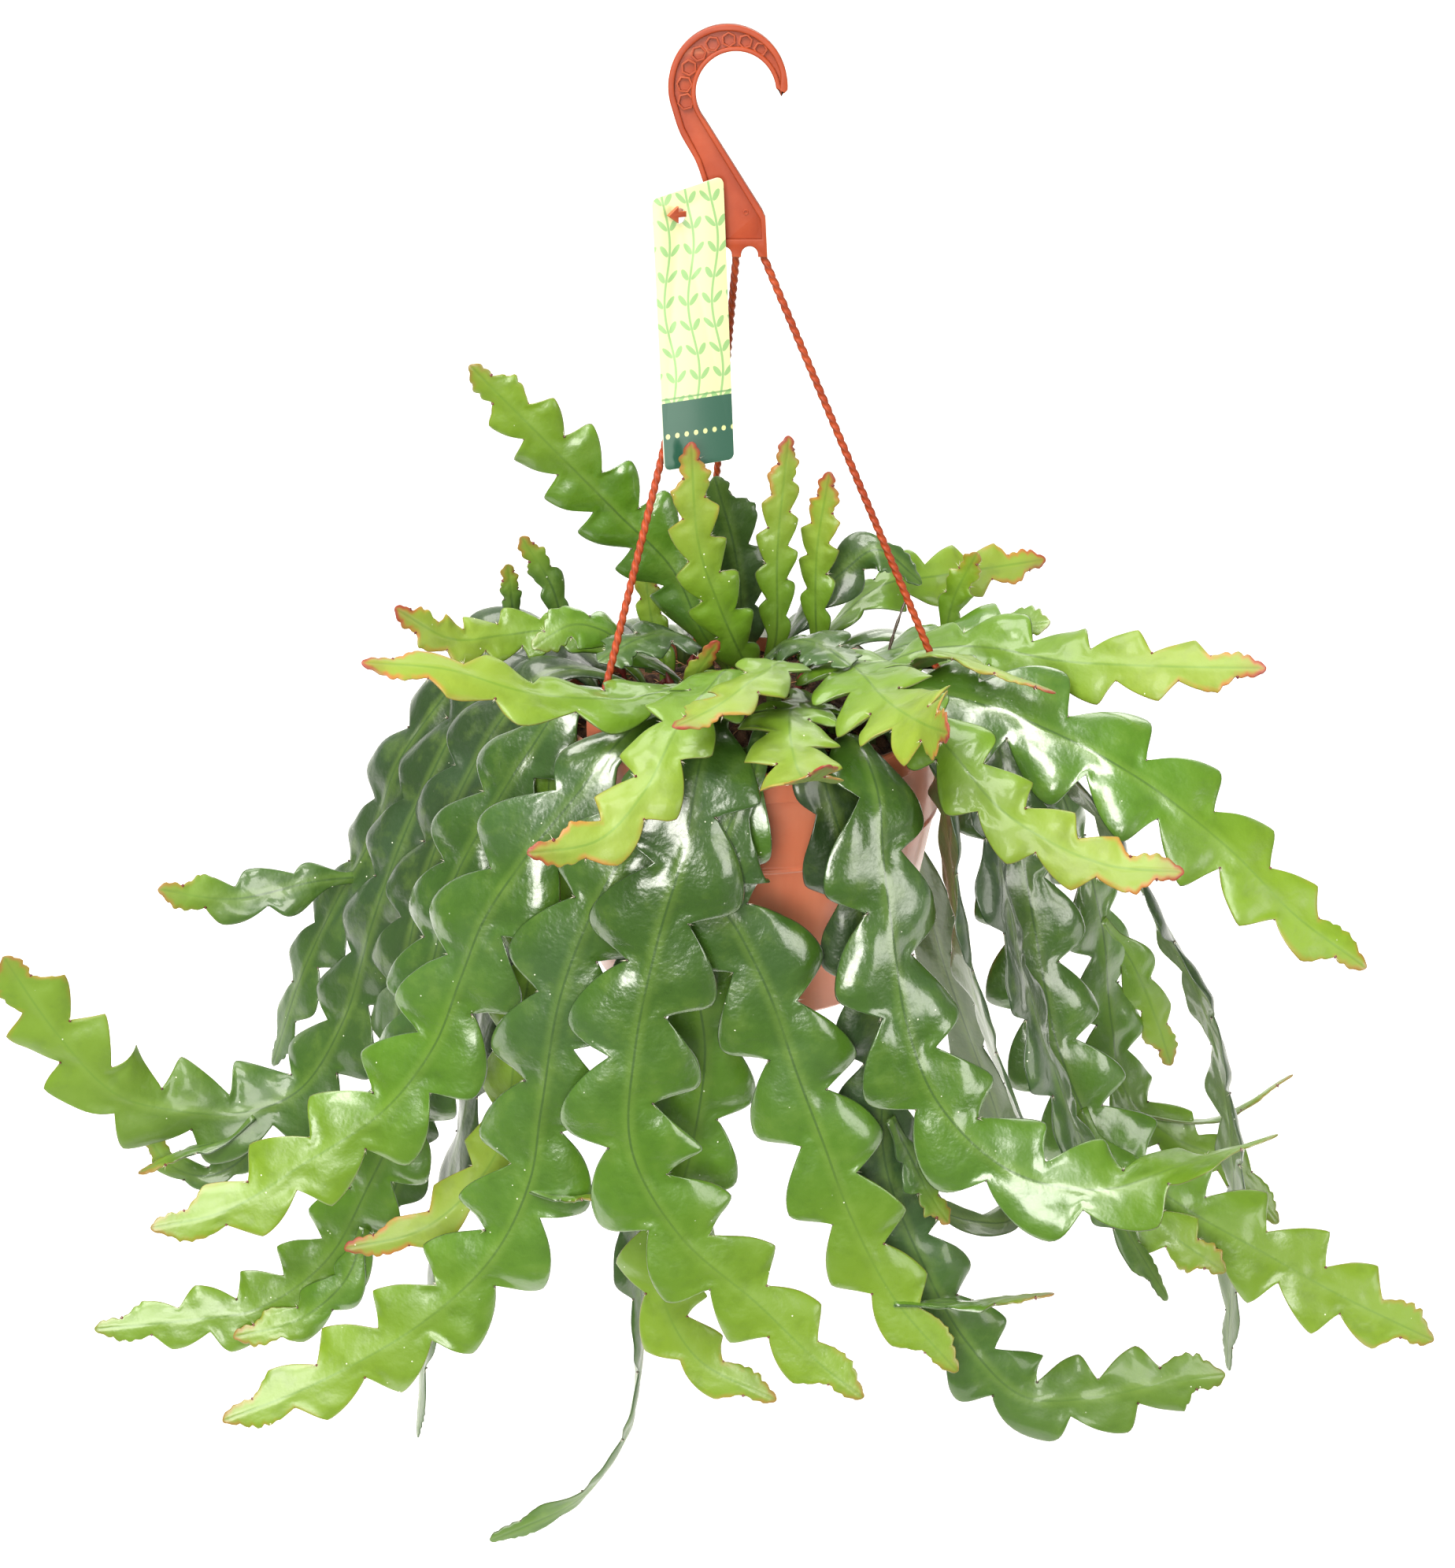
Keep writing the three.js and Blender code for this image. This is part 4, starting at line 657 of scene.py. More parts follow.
def areoleBits(bits, blade, rng):
    # in every notch a small eight-faced cushion, with three thin pyramids standing in it as bristles
    look = frondLook
    counts = np.arange(0, blade.lobes + 0.01, 0.5)
    counts = counts[(counts > 0.6) & (counts < blade.lobes - 0.2)]
    leftSide = (counts % 1) < 0.25
    s = blade.distance(counts)
    r = blade.reading(s)
    half = np.where(leftSide, r["halves"][0][0], r["halves"][1][0])[:, None]
    outward = r["side"] * np.where(leftSide, -1, 1)[:, None]
    spot = r["centre"] + outward * (half - 0.25) - r["normal"] * look["cup"] * half
    young = blade.shade(r["u"])
    near = 1 - ease(8, 34, blade.length - s)
    size = (look["areole"] * (1 + 0.5 * near * (young > 0.6)))[:, None, None]
    turn = np.stack([outward, r["normal"], r["tangent"]], axis=1)
    cushion = spot[:, None, :] + np.einsum("kc,ncd->nkd", diamond, turn) * size
    bits.add(cushion, [copies(diamondFaces, 6, len(s))], age=np.repeat(young, 6),
             toTip=np.repeat(blade.length - s, 6), kind=1.0, margin=0.0, rib=9.0)
    way = outward[:, None, :] + rng.uniform(-0.75, 0.75, (len(s), 3, 3)) + 0.55 * r["tangent"][:, None, :]
    way = unit(way).reshape(-1, 3)
    foot = np.repeat(spot, 3, axis=0)
    long = rng.uniform(0.45, 1.1, len(foot))[:, None] * look["bristle"]
    first = unit(np.cross(way, np.array([0.31, 0.52, 0.8])))
    second = np.cross(way, first)
    angle = thirds[None, :, None]
    ring = foot[:, None, :] + look["bristleWidth"] * (
        np.cos(angle) * first[:, None, :] + np.sin(angle) * second[:, None, :])
    spines = np.concatenate([ring, (foot + way * long)[:, None, :]], axis=1)
    sides = np.array([[0, 1, 3], [1, 2, 3], [2, 0, 3], [0, 2, 1]])
    bits.add(spines, [copies(sides, 4, len(foot))], kind=2.0, age=0.5, rib=9.0)


def frondFinish(name, deep, fresh, lime, gloss, shine, wax, red):
    # green runs with age from deep to lime; over it go a grey bloom that is partly a painted blue-grey
    # sheen, mottling, the midrib, red tips and margins on young growth, a dark outline, rare pale specks,
    # and the areoles and bristles by kind
    f = Finish(name)
    place = f.place()
    age, margin, rib = f.value("age"), f.value("margin"), f.value("rib")
    under, toTip, kind = f.value("under"), f.value("toTip"), f.value("kind")
    broad = f.noise(16, 2, place)
    mottle = f.noise(75, 4, place, 0.6)
    fine = f.noise(420, 3, place)
    colour = f.mix(age.rise(0.0, 0.5), deep, fresh)
    colour = f.mix(age.rise(0.5, 1.0), colour, lime)
    # painted sheen, partly a real wax bloom: broad blue-grey patches, fading out as age rises
    bloomAndSheen = broad.rise(0.45, 0.7) * (1 - age.rise(0.2, 0.6)) * 0.32
    colour = f.mix(bloomAndSheen, colour, tint(62, 90, 62))
    patch = f.mix(mottle.rise(0.4, 0.6), tint(30, 58, 20), tint(116, 146, 52))
    colour = f.mix((mottle - 0.5).size() * 0.9, colour, patch)
    colour = f.mix(under * 0.45, colour, tint(104, 126, 78))
    vein = (1 - rib.rise(0.25, 0.8)) * mottle.rise(0.2, 0.55, 0.15, 0.55)
    halo = (1 - rib.rise(1.0, 5.0)) * 0.22
    colour = f.mix(halo, colour, tint(120, 150, 62))
    colour = f.mix(vein, colour, f.mix(age.rise(0.4, 0.9), tint(30, 62, 26), tint(92, 128, 34)))
    redTip = (1 - toTip.rise(1.5, frondLook["tipRed"])) * age.rise(0.6, 0.95) * red
    blush = (1 - margin.rise(0.3, 3.4)) * age.rise(0.8, 1.0) * (1 - toTip.rise(16, 80))
    colour = f.mix(blush * mottle.rise(0.36, 0.58) * 0.75 * red, colour, tint(182, 84, 46))
    colour = f.mix(redTip * (0.25 + 0.65 * (1 - margin.rise(0.3, 2.6))), colour, tint(134, 42, 36))
    outline = (1 - margin.rise(0.12, 0.5)) * 0.6 * (1 - redTip)
    colour = f.mix(outline, colour, f.mix(age.rise(0.5, 1.0), tint(30, 52, 28), tint(140, 108, 44)))
    cells = f.node("ShaderNodeTexVoronoi", None, {"Vector": place, "Scale": 150.0})
    rare = f.noise(31, 1, place)
    speck = (1 - cells.out("Distance").rise(0.035, 0.07)) * rare.rise(0.52, 0.6)
    colour = f.mix(speck * 0.85, colour, tint(232, 236, 214))
    areole = f.mix(age.rise(0.6, 0.9), tint(62, 44, 32), tint(104, 34, 30))
    colour = f.mix(kind.rise(0.4, 0.6), colour, areole)
    colour = f.mix(kind.rise(1.5, 1.6), colour, tint(226, 220, 196))
    rough = gloss + 0.16 * (mottle - 0.3) + 0.12 * (broad - 0.5) + 0.25 * speck + 0.12 * age
    hammered = f.noise(210, 2, place)
    smoother = 1 - 0.65 * age
    normal = f.bump((mottle * 0.8 + hammered * 0.5 + fine * 0.12) * smoother, 0.6, 0.0014)
    return f.close(Base_Color=colour, Roughness=rough, Normal=normal, Specular_IOR_Level=shine,
                   Coat_Weight=(1 - age.rise(0.3, 0.9)) * wax + 0.1, Coat_Roughness=0.14)


tones = dict(
    old=dict(slot="frond_old", ages=(0.02, 0.34), finish=frondFinish(
        "frondOld", tint(36, 58, 24), tint(58, 92, 24), tint(104, 136, 26),
        gloss=0.40, shine=0.5, wax=0.5, red=0.45)),
    mature=dict(slot="frond_mature", ages=(0.22, 0.74), finish=frondFinish(
        "frondMature", tint(40, 70, 20), tint(74, 114, 18), tint(114, 144, 24),
        gloss=0.26, shine=0.8, wax=0.9, red=0.45)),
    young=dict(slot="frond_young", ages=(0.50, 1.0), finish=frondFinish(
        "frondYoung", tint(56, 94, 20), tint(90, 126, 24), tint(126, 146, 44),
        gloss=0.36, shine=0.45, wax=0.7, red=1.0)))


frondAges = dict(  # where the age of a frond's foot and tip departs from its tone
    upright_left=(0.3, 0.9), cascade_2=(0.05, 1.0), cascade_3=(0.02, 0.5), cascade_4=(0.15, 0.8),
    cascade_5=(0.2, 0.95), front_left=(0.2, 0.95), front_main=(0.15, 0.9), front_behind=(0.3, 1.0),
    front_centre=(0.12, 0.9), front_right=(0.2, 0.75), front_dark=(0.0, 0.75), front_tail=(0.05, 0.6),
    right_big=(0.3, 1.0), edge_dark=(0.02, 0.6), right_sweep=(0.2, 0.95), right_pale=(0.3, 0.8),
    right_long=(0.05, 0.4))


def makeFronds():  # each frond with the shoots that grow from it
    foot = rooting["foot"]
    low, high = foot + rooting["straight"], rooting["crown"] + rooting["above"]
    for i, (name, given) in enumerate(frondTable.items()):
        shape = {key: value for key, value in given.items() if key not in ("tone", "root", "shoots")}
        tone = tones[given["tone"]]
        ages = frondAges.get(name, tone["ages"])
        angle, away = math.radians(given["root"][0]), given["root"][1]
        x, y = potAxis[0] + away * math.cos(angle), potAxis[1] + away * math.sin(angle)
        shape["route"] = [(x, y, foot), (x, y, low), (x, y, high)] + given["route"]
        bits = Bits()
        bladeBits(bits, Blade(**{"arches": True, "ages": ages, **shape}), frondLook["seed"] + i, 1.0)
        for j, shoot in enumerate(given.get("shoots", [])):
            blade = Blade(**{"stem": 14, "ages": (min(1, ages[0] + 0.35), 1.0), **shoot})
            bladeBits(bits, blade, frondLook["shootSeed"] + 10 * i + j, 0.8)
        piece("leaf_" + name, bits.mesh("leaf_" + name), tone["finish"], ["frond_" + name])
    print("fronds made:", len(frondTable))


makeFronds()


# Pot

pot = dict(
    around=160, rimTop=-300, rimFoot=-314, rimRadius=95, lip=3, wallTop=93.2, wallRing=91, wallBase=76,
    thickness=2.5, ring=-349, proud=1.2, bottom=-433, rounding=0.55,
    floorHole=6, drains=6, drainRadius=4, drainPitch=48, drainSides=24)


def roundedLine(points, size, steps=4):
    # each inner corner becomes a quadratic curve that starts and ends size away from it
    p = np.array(points, float)
    before, after = p[:-2] - p[1:-1], p[2:] - p[1:-1]
    near = np.minimum(size, 0.45 * np.linalg.norm(before, axis=1, keepdims=True))
    far = np.minimum(size, 0.45 * np.linalg.norm(after, axis=1, keepdims=True))
    a, b = p[1:-1] + unit(before) * near, p[1:-1] + unit(after) * far
    t = np.linspace(0, 1, steps + 1)[None, :, None]
    arcs = (1 - t) ** 2 * a[:, None] + 2 * t * (1 - t) * p[1:-1][:, None] + t ** 2 * b[:, None]
    return np.concatenate([p[:1], arcs.reshape(-1, 2), p[-1:]])


def lathe(profile, around):  # each point of the profile goes round the pot's axis; the ends are capped flat
    turn = np.arange(around) * 2 * np.pi / around
    x = potAxis[0] + profile[:, :1] * np.cos(turn)
    y = potAxis[1] + profile[:, :1] * np.sin(turn)
    z = np.broadcast_to(profile[:, 1:], x.shape)
    return np.stack([x, y, z], axis=-1), tubeFaces(*x.shape)


def cutBy(mesh, cutter, name):  # the mesh with the cutter's solid taken out, read back from a live modifier
    body, tool = bpy.data.objects.new(name, mesh), bpy.data.objects.new(name + "Cutter", cutter)
    for obj in (body, tool):
        bpy.context.scene.collection.objects.link(obj)
    cut = body.modifiers.new("cut", "BOOLEAN")
    cut.object, cut.operation, cut.solver = tool, "DIFFERENCE", "EXACT"
    bpy.context.view_layer.update()
    made = bpy.data.meshes.new_from_object(body.evaluated_get(bpy.context.evaluated_depsgraph_get()))
    for obj in (body, tool):
        bpy.data.objects.remove(obj)
    return made


def potFinish():  # streaks of flow up the wall, dull patches, and darker colour toward the foot and near the top of the rim
    f = Finish("potPlastic")
    place = f.place()
    height = f.node("ShaderNodeSeparateXYZ", None, {0: place}).out("Z")
    stretched = f.node("ShaderNodeMapping", None, {"Vector": place, "Scale": (60.0, 60.0, 5.0)}).out()
    flow = f.noise(1.0, 3, stretched)
    dull = f.noise(38, 4, place)
    fine = f.noise(900, 2, place)
    colour = f.mix(flow.rise(0.35, 0.7), tint(202, 112, 80), tint(214, 126, 94))
    colour = f.mix(dull.rise(0.5, 0.75) * 0.25, colour, tint(228, 158, 130))
    # darker toward the foot and from 6 mm below the rim's top upward, only where the dull patches lie
    darkerFootAndRimTop = height.rise(-0.435, -0.400, 0.25, 0.0) + height.rise(-0.306, -0.300, 0.0, 0.12)
    colour = f.mix(darkerFootAndRimTop * dull.rise(0.4, 0.6), colour, tint(120, 72, 50))
    rough = 0.27 + 0.16 * dull.rise(0.3, 0.75) + 0.05 * fine
    normal = f.bump(flow + fine * 0.06, 0.10, 0.001)
    return f.close(Base_Color=colour, Roughness=rough, Normal=normal, Coat_Weight=0.25, Coat_Roughness=0.12,
                   Subsurface_Weight=0.12, Subsurface_Radius=(0.008, 0.003, 0.002), Subsurface_Scale=1.0)


def makePot():  # the wall's outline goes round the axis, from the drain hole's edge out, up, over and down
    p = pot
    t = p["thickness"]
    line = [
        (p["floorHole"], p["bottom"]), (p["wallBase"] - 2, p["bottom"]), (p["wallBase"], p["bottom"] + 2),
        (p["wallRing"] - 0.3, p["ring"] - 1.5), (p["wallRing"] + p["proud"], p["ring"] - 0.5),
        (p["wallRing"] + p["proud"], p["ring"] + 0.7), (p["wallRing"] + 0.2, p["ring"] + 1.6),
        (p["wallTop"], p["rimFoot"]), (p["rimRadius"], p["rimFoot"]), (p["rimRadius"], p["rimTop"] - 1),
        (p["rimRadius"] - 1, p["rimTop"]), (p["rimRadius"] - p["lip"], p["rimTop"]),
        (p["wallTop"] - t, p["rimFoot"]), (p["wallRing"] - t, p["ring"]),
        (p["wallBase"] - t, p["bottom"] + t), (p["floorHole"], p["bottom"] + t)]
    bits = Bits()
    bits.add(*lathe(roundedLine(line, p["rounding"]), p["around"]))
    drains = Bits()
    sides = p["drainSides"]
    turn = np.arange(sides) * 2 * np.pi / sides
    for k in range(p["drains"]):
        angle = k * 2 * math.pi / p["drains"]
        x = potAxis[0] + p["drainPitch"] * math.cos(angle) + p["drainRadius"] * np.cos(turn)
        y = potAxis[1] + p["drainPitch"] * math.sin(angle) + p["drainRadius"] * np.sin(turn)
        ends = (p["bottom"] - 5, p["bottom"] + 3 * t)
        rings = [np.stack([x, y, np.full(sides, z)], axis=-1) for z in ends]
        drains.add(np.stack(rings), tubeFaces(2, sides))
    mesh = cutBy(bits.mesh("pot_shell"), drains.mesh("drains"), "pot_shell")
    obj = piece("pot_shell", mesh, potFinish(), ["pot"])
    obj.data.set_sharp_from_angle(angle=math.radians(50))
    print("pot made")


makePot()


# Soil and what stands in it

soil = dict(
    around=170, rings=64, edge=-309, crown=-297, reach=88, radius=91.0, roughness=1.2,
    skirt=((6, -430), (73, -430), (88, -349), (90.7, -313)), lumps=26, lumpLength=(3.5, 16), lumpHeight=0.5,
    crumbs=620, crumbSize=(0.7, 2.3), fibres=300, fibreLength=(7, 20), fibreWidth=0.28,
    seed=77, lumpSeed=41)


def crownHeight(x, y):
    # the crown falls with the square of the radius, plus the solid's broad lumps, plus a sum of sines in
    # seeded directions, each as high as its own length asks
    s = soil
    away = np.hypot(x - potAxis[0], y - potAxis[1])
    height = s["crown"] + (s["edge"] - s["crown"]) * (away / s["reach"]) ** 2
    broad = np.sin(0.21 * x + 1.3) * np.cos(0.24 * y) + 0.6 * np.sin(0.43 * x + 0.37 * y)
    height = height + s["roughness"] * broad
    rng = np.random.default_rng(s["lumpSeed"])
    for k in range(s["lumps"]):
        long = rng.uniform(*s["lumpLength"])
        way = rng.uniform(0, 2 * np.pi)
        along = x * np.cos(way) + y * np.sin(way)
        wave = np.sin(2 * np.pi / long * along + rng.uniform(0, 6.28))
        height = height + s["lumpHeight"] * long / s["lumpLength"][1] * wave
    return height


def soilFinish():  # dark peat with paler crumbs, and straw coloured fibres by kind
    f = Finish("peat")
    place = f.place()
    kind = f.value("kind")
    coarse, fine, grit = f.noise(160, 4, place), f.noise(900, 3, place), f.noise(55, 2, place)
    colour = f.mix(coarse.rise(0.35, 0.65), tint(40, 26, 20), tint(86, 60, 44))
    colour = f.mix(fine.rise(0.55, 0.75) * 0.6, colour, tint(128, 94, 66))
    colour = f.mix(grit.rise(0.58, 0.7) * 0.4, colour, tint(30, 20, 16))
    strand = f.mix(coarse.rise(0.4, 0.6), tint(112, 72, 44), tint(176, 132, 90))
    colour = f.mix(kind.rise(0.5, 0.6), colour, strand)
    normal = f.bump(coarse + fine * 0.5, 0.8, 0.0015)
    return f.close(Base_Color=colour, Roughness=0.82 + 0.15 * fine, Normal=normal, Specular_IOR_Level=0.25)


def strands(rng, foot, way, long, width, sag, steps=5):
    # bent fibres: the path runs straight along its way and drops with the square of the share; three
    # corners go round it and thin toward both ends
    t = np.linspace(0, 1, steps)[None, :, None]
    path = foot[:, None, :] + way[:, None, :] * long[:, None, None] * t
    bend = unit(rng.normal(size=foot.shape))[:, None, :] * long[:, None, None] * 0.28
    path = path + bend * (t * (1 - t)) - np.array([0, 0, 1.0]) * sag * t ** 2
    first = unit(np.cross(way, np.array([0.3, 0.5, 0.81])))[:, None, None, :]
    second = np.cross(way, first[:, 0, 0, :])[:, None, None, :]
    angle = thirds[None, None, :, None]
    thin = width * (0.45 + 0.55 * np.sin(np.pi * np.clip(t, 0.05, 0.95)))[..., None]
    ring = path[:, :, None, :] + thin * (np.cos(angle) * first + np.sin(angle) * second)
    return ring, [copies(faces, 3 * steps, len(foot)) for faces in (
        gridFaces(steps, 3), np.array([[2, 1, 0], [3 * steps - 3, 3 * steps - 2, 3 * steps - 1]]))]


crownBuds = dict(  # small red shoots in the crown: their foot, their height and their lean, in mm
    spots=((-28, -8, 16, -5), (-38, 2, 10, 4), (-16, 22, 13, 3), (-9, 16, 15, -4), (-3, 24, 11, 5),
           (30, 14, 17, 6), (-52, 18, 22, -7), (9, 30, 12, 2), (48, 20, 12, -3), (-24, 30, 12, 4)),
    twigs=((72, 24, 46, 12), (-42, -22, 12, 18), (-32, -30, 8, 24)),
    foot=-304, thick=2.2, twigThick=1.1, around=10, rows=16, seed=63)


def crownBits(bits, spots, thick, knobs, age, rng):
    # a bent tube over the share t of its height, whose radius swells and pinches as a sine with t and
    # closes to a rounded end as the root of 1 - t to the eighth
    b = crownBuds
    t = np.linspace(0, 1, b["rows"])[:, None]
    turn = np.arange(b["around"]) * 2 * np.pi / b["around"]
    for x, y, high, lean in spots:
        swell = 0.75 + 0.25 * np.sin(knobs * np.pi * t + rng.uniform(0, 6))
        radius = thick * swell * np.sqrt(1.001 - t ** 8)
        drift = rng.uniform(-0.25, 0.25)
        centreX, centreY = x + lean * t ** 1.5, y + drift * high * t
        z = b["foot"] + (high + crownHeight(np.array(x), np.array(y)) - b["foot"]) * t + 0 * turn
        points = np.stack([centreX + radius * np.cos(turn), centreY + radius * np.sin(turn) * 0.7, z], -1)
        bits.add(points, tubeFaces(*z.shape), kind=1.0, age=age, rib=9.0, toTip=50.0, margin=5.0)


def makeCrownBuds():
    rng = np.random.default_rng(crownBuds["seed"])
    bits = Bits()
    crownBits(bits, crownBuds["spots"], crownBuds["thick"], 7, 1.0, rng)
    crownBits(bits, crownBuds["twigs"], crownBuds["twigThick"], 11, 0.3, rng)
    piece("crown_buds", bits.mesh("crown_buds"), tones["young"]["finish"])
    print("crown buds made")


def makeSoil():
    # one grid: rings up the inside of the pot, then rings of the crown that shrink as the root of an
    # even step; loose crumbs and fibres lie on it at seeded places
    s = soil
    rng = np.random.default_rng(s["seed"])
    turn = np.arange(s["around"]) * 2 * np.pi / s["around"]
    away = s["radius"] * np.sqrt(np.linspace(1, 0.0006, s["rings"]))[:, None]
    x, y = potAxis[0] + away * np.cos(turn), potAxis[1] + away * np.sin(turn)
    crown = np.stack([x, y, crownHeight(x, y)], axis=-1)
    lower = lathe(np.array(s["skirt"], float), s["around"])[0]
    bits = Bits()
    bits.add(np.concatenate([lower, crown]), tubeFaces(len(lower) + len(crown), s["around"]), kind=0.0)

    def scattered(count, reach):
        r, a = reach * np.sqrt(rng.uniform(0, 1, count)), rng.uniform(0, 2 * np.pi, count)
        px, py = potAxis[0] + r * np.cos(a), potAxis[1] + r * np.sin(a)
        return np.stack([px, py, crownHeight(px, py)], axis=-1)

    spots = scattered(s["crumbs"], s["radius"] - 3)
    size = rng.uniform(*s["crumbSize"], (len(spots), 6, 1)) * rng.uniform(0.6, 1.0, (len(spots), 1, 3))
    crumbs = spots[:, None, :] + diamond * size + rng.normal(0, 0.2, (len(spots), 6, 3))
    bits.add(crumbs, [copies(diamondFaces, 6, len(spots))], kind=0.0)
    spots = scattered(s["fibres"], s["radius"] - 14)
    way = unit(rng.normal(size=spots.shape) * np.array([1, 1, 0.16]) + np.array([0, 0, 0.12]))
    long = rng.uniform(*s["fibreLength"], len(spots))
    bits.add(*strands(rng, spots + [0, 0, 0.6], way, long, s["fibreWidth"], 1.2), kind=1.0)
    piece("peat_fill", bits.mesh("peat_fill"), soilFinish(), ["soil"])
    print("soil made")


makeSoil()
makeCrownBuds()


# Hook and straps

hook = dict(
    thickness=8, web=3.6, inner=17.5, outer=26, bevel=0.55, innerBorder=2, outerBorder=2.6,
    prongs=(-11, 0.3, 12), prongHalf=2.1, foot=-88,
    cells=8, cellStart=194, cellTurn=20, cellMiddle=(-1.7, -16), cellReach=20.8, cellSize=3.6,
    cellShrink=0.1, cellWall=0.8, stud=(4.4, -68.5), studRings=(1.15, 0.6))
peg = dict(
    width=2.4, root=(-11, -1.4), bend=(-24.4, -6), eye=(-24.4, -20.6), height=-66, reach=3.4,
    barb=3.6, head=7, around=16)
strap = dict(radius=1.85, groove=0.75, turnLength=14, around=18, row=0.62, taperLength=9)
clip = dict(width=12, plate=2.4, over=5, lug=14, gap=0.3, bevel=0.45)
strapEnds = dict(left=(-11, 223.5), right=(12, 343.5), back=(0.3, 103.5))


def arc(x, z, radius, start, end, steps):  # points on a circle between two angles in degrees
    turn = np.radians(np.linspace(start, end, steps))
    return np.stack([x + radius * np.cos(turn), z + radius * np.sin(turn)], axis=1)


def plate(bits, loops, depth, fromY, bevel):
    # a flat outline in X and Z given its depth along Y; the curve's own bevel rounds both rims inward
    curve = bpy.data.curves.new("outline", "CURVE")
    curve.dimensions, curve.fill_mode = "2D", "BOTH"
    curve.extrude, curve.offset = depth / 2 - bevel, -bevel
    curve.bevel_depth, curve.bevel_resolution = bevel, 2
    for loop in loops:
        spline = curve.splines.new("POLY")
        spline.points.add(len(loop) - 1)
        flat = np.column_stack([loop, np.zeros(len(loop)), np.ones(len(loop))])
        spline.points.foreach_set("co", flat.ravel())
        spline.use_cyclic_u = True
    holder = bpy.data.objects.new("outline", curve)
    mesh = bpy.data.meshes.new_from_object(holder)
    co = np.zeros(len(mesh.vertices) * 3)
    mesh.vertices.foreach_get("co", co)
    co = co.reshape(-1, 3)
    points = np.stack([co[:, 0], fromY + depth / 2 - co[:, 2], co[:, 1]], axis=1)
    mesh.calc_loop_triangles()
    corners = np.zeros(len(mesh.loop_triangles) * 3, np.int32)
    mesh.loop_triangles.foreach_get("vertices", corners)
    bits.add(points, [corners.reshape(-1, 3)])
    bpy.data.objects.remove(holder)


def turned(points, angle):  # points turned round an upright axis
    c, s = math.cos(angle), math.sin(angle)
    return points @ np.array([[c, s, 0], [-s, c, 0], [0, 0, 1]])


def welded(mesh, angle=35):  # joins the doubles that the curve leaves, and splits shading at hard turns
    weld = bpy.data.objects.new("weld", mesh)
    bpy.context.scene.collection.objects.link(weld)
    modifier = weld.modifiers.new("weld", "WELD")
    modifier.merge_threshold = 1e-5
    bpy.context.view_layer.update()
    made = bpy.data.meshes.new_from_object(weld.evaluated_get(bpy.context.evaluated_depsgraph_get()))
    bpy.data.objects.remove(weld)
    made.set_sharp_from_angle(angle=math.radians(angle))
    return made


def plasticFinish(name, base, pale, gloss):  # cloudy colour, with a painted highlight that makes sharp edges paler and painted shade that darkens corners
    f = Finish(name)
    place = f.place()
    cloud, fine = f.noise(45, 3, place), f.noise(700, 3, place)
    curvature = f.node("ShaderNodeNewGeometry").out("Pointiness")
    colour = f.mix(cloud.rise(0.35, 0.7), base, pale)
    # painted highlight: convex edges, found by pointiness, are mixed toward a pale salmon
    colour = f.mix(curvature.rise(0.52, 0.60) * 0.45, colour, tint(206, 118, 80))
    # painted shade: concave corners, found by pointiness, are mixed toward a dark brown
    colour = f.mix(curvature.rise(0.49, 0.42) * 0.5, colour, tint(84, 30, 14))
    normal = f.bump(fine * 0.4 + cloud * 0.6, 0.12, 0.0008)
    return f.close(Base_Color=colour, Roughness=gloss + 0.12 * fine, Normal=normal, Specular_IOR_Level=0.3)


def hookOutline():
    # from the hook's nose over the outer arc, down the neck, round the three prongs and back up along
    # the inner arc
    h = hook
    left, middle, right = h["prongs"]
    half, foot = h["prongHalf"], h["foot"]
    bend = midribCurve([(-28.49, 0, -22.17), (-24.6, 0, -34), (-17.6, 0, -46.5), (-13.9, 0, -57)])[0]
    side = bend(np.linspace(0, 1, 24))[1:, [0, 2]]
    parts = [np.array([(22.4, -16.2)]), arc(-3.5, -15, h["outer"], -2, 196, 60), side, [(left - half, foot)]]
    for start, end in ((left, middle), (middle, right)):
        between = arc((start + end) / 2, foot + 1, (end - start) / 2 - half, 180, 0, 14)
        parts += [[(start + half, foot)], between, [(end - half, foot)]]
    parts += [[(right + half, foot), (13.2, -71), (11.6, -67.5)],
              arc(0, -h["inner"], h["inner"], 219, 7, 60), [(19, -17), (21, -17.6)]]
    return np.concatenate([np.asarray(part, float) for part in parts])


def hookRecess():  # the same round inside the border, where the web lies deeper
    h = hook
    corners = [(-22.6, -32), (-15.4, -45.5), (-11.4, -57), (-11, -80), (11.6, -80), (10.8, -71.5),
               (-15.4, -29.6)]
    return np.concatenate([
        arc(-3.5, -15, h["outer"] - h["outerBorder"], 13, 190, 50), np.array(corners, float),
        arc(0, -h["inner"], h["inner"] + h["innerBorder"], 208, 10, 50)])


def makePeg(bits):
    # a round bar along a bent path at one height, and a flat barbed head turned square to the tag
    p = peg
    w = p["width"] / 2
    (rootX, rootY), (bendX, bendY), (eyeX, eyeY) = p["root"], p["bend"], p["eye"]
    path = np.array([[rootX, rootY], [bendX + 2, bendY + 0.8], [bendX, bendY], [bendX, bendY - 2],
                     [eyeX, eyeY - p["reach"] + 0.5]])
    turn = np.arange(p["around"]) * 2 * np.pi / p["around"]
    ways = unit(np.gradient(path, axis=0))
    sides = np.stack([-ways[:, 1], ways[:, 0]], axis=1)
    x = path[:, :1] + sides[:, :1] * w * np.cos(turn)
    y = path[:, 1:] + sides[:, 1:] * w * np.cos(turn)
    z = p["height"] + w * np.sin(turn) + 0 * x
    bits.add(np.stack([x, y, z], axis=-1), tubeFaces(*x.shape))
    head = Bits()
    arrow = np.array([[2.2, -w], [2.2, w], [-1.8, w], [-1.8, p["barb"]], [-p["head"], 0],
                      [-1.8, -p["barb"]], [-1.8, -w]])
    plate(head, [arrow], 2 * w - 0.4, 0.2 - w, 0.35)
    spun = turned(head.points[0], math.radians(tag["yaw"]))
    bits.add(spun + [eyeX + 0.6, eyeY - p["reach"] + 0.2, p["height"]], head.faces)


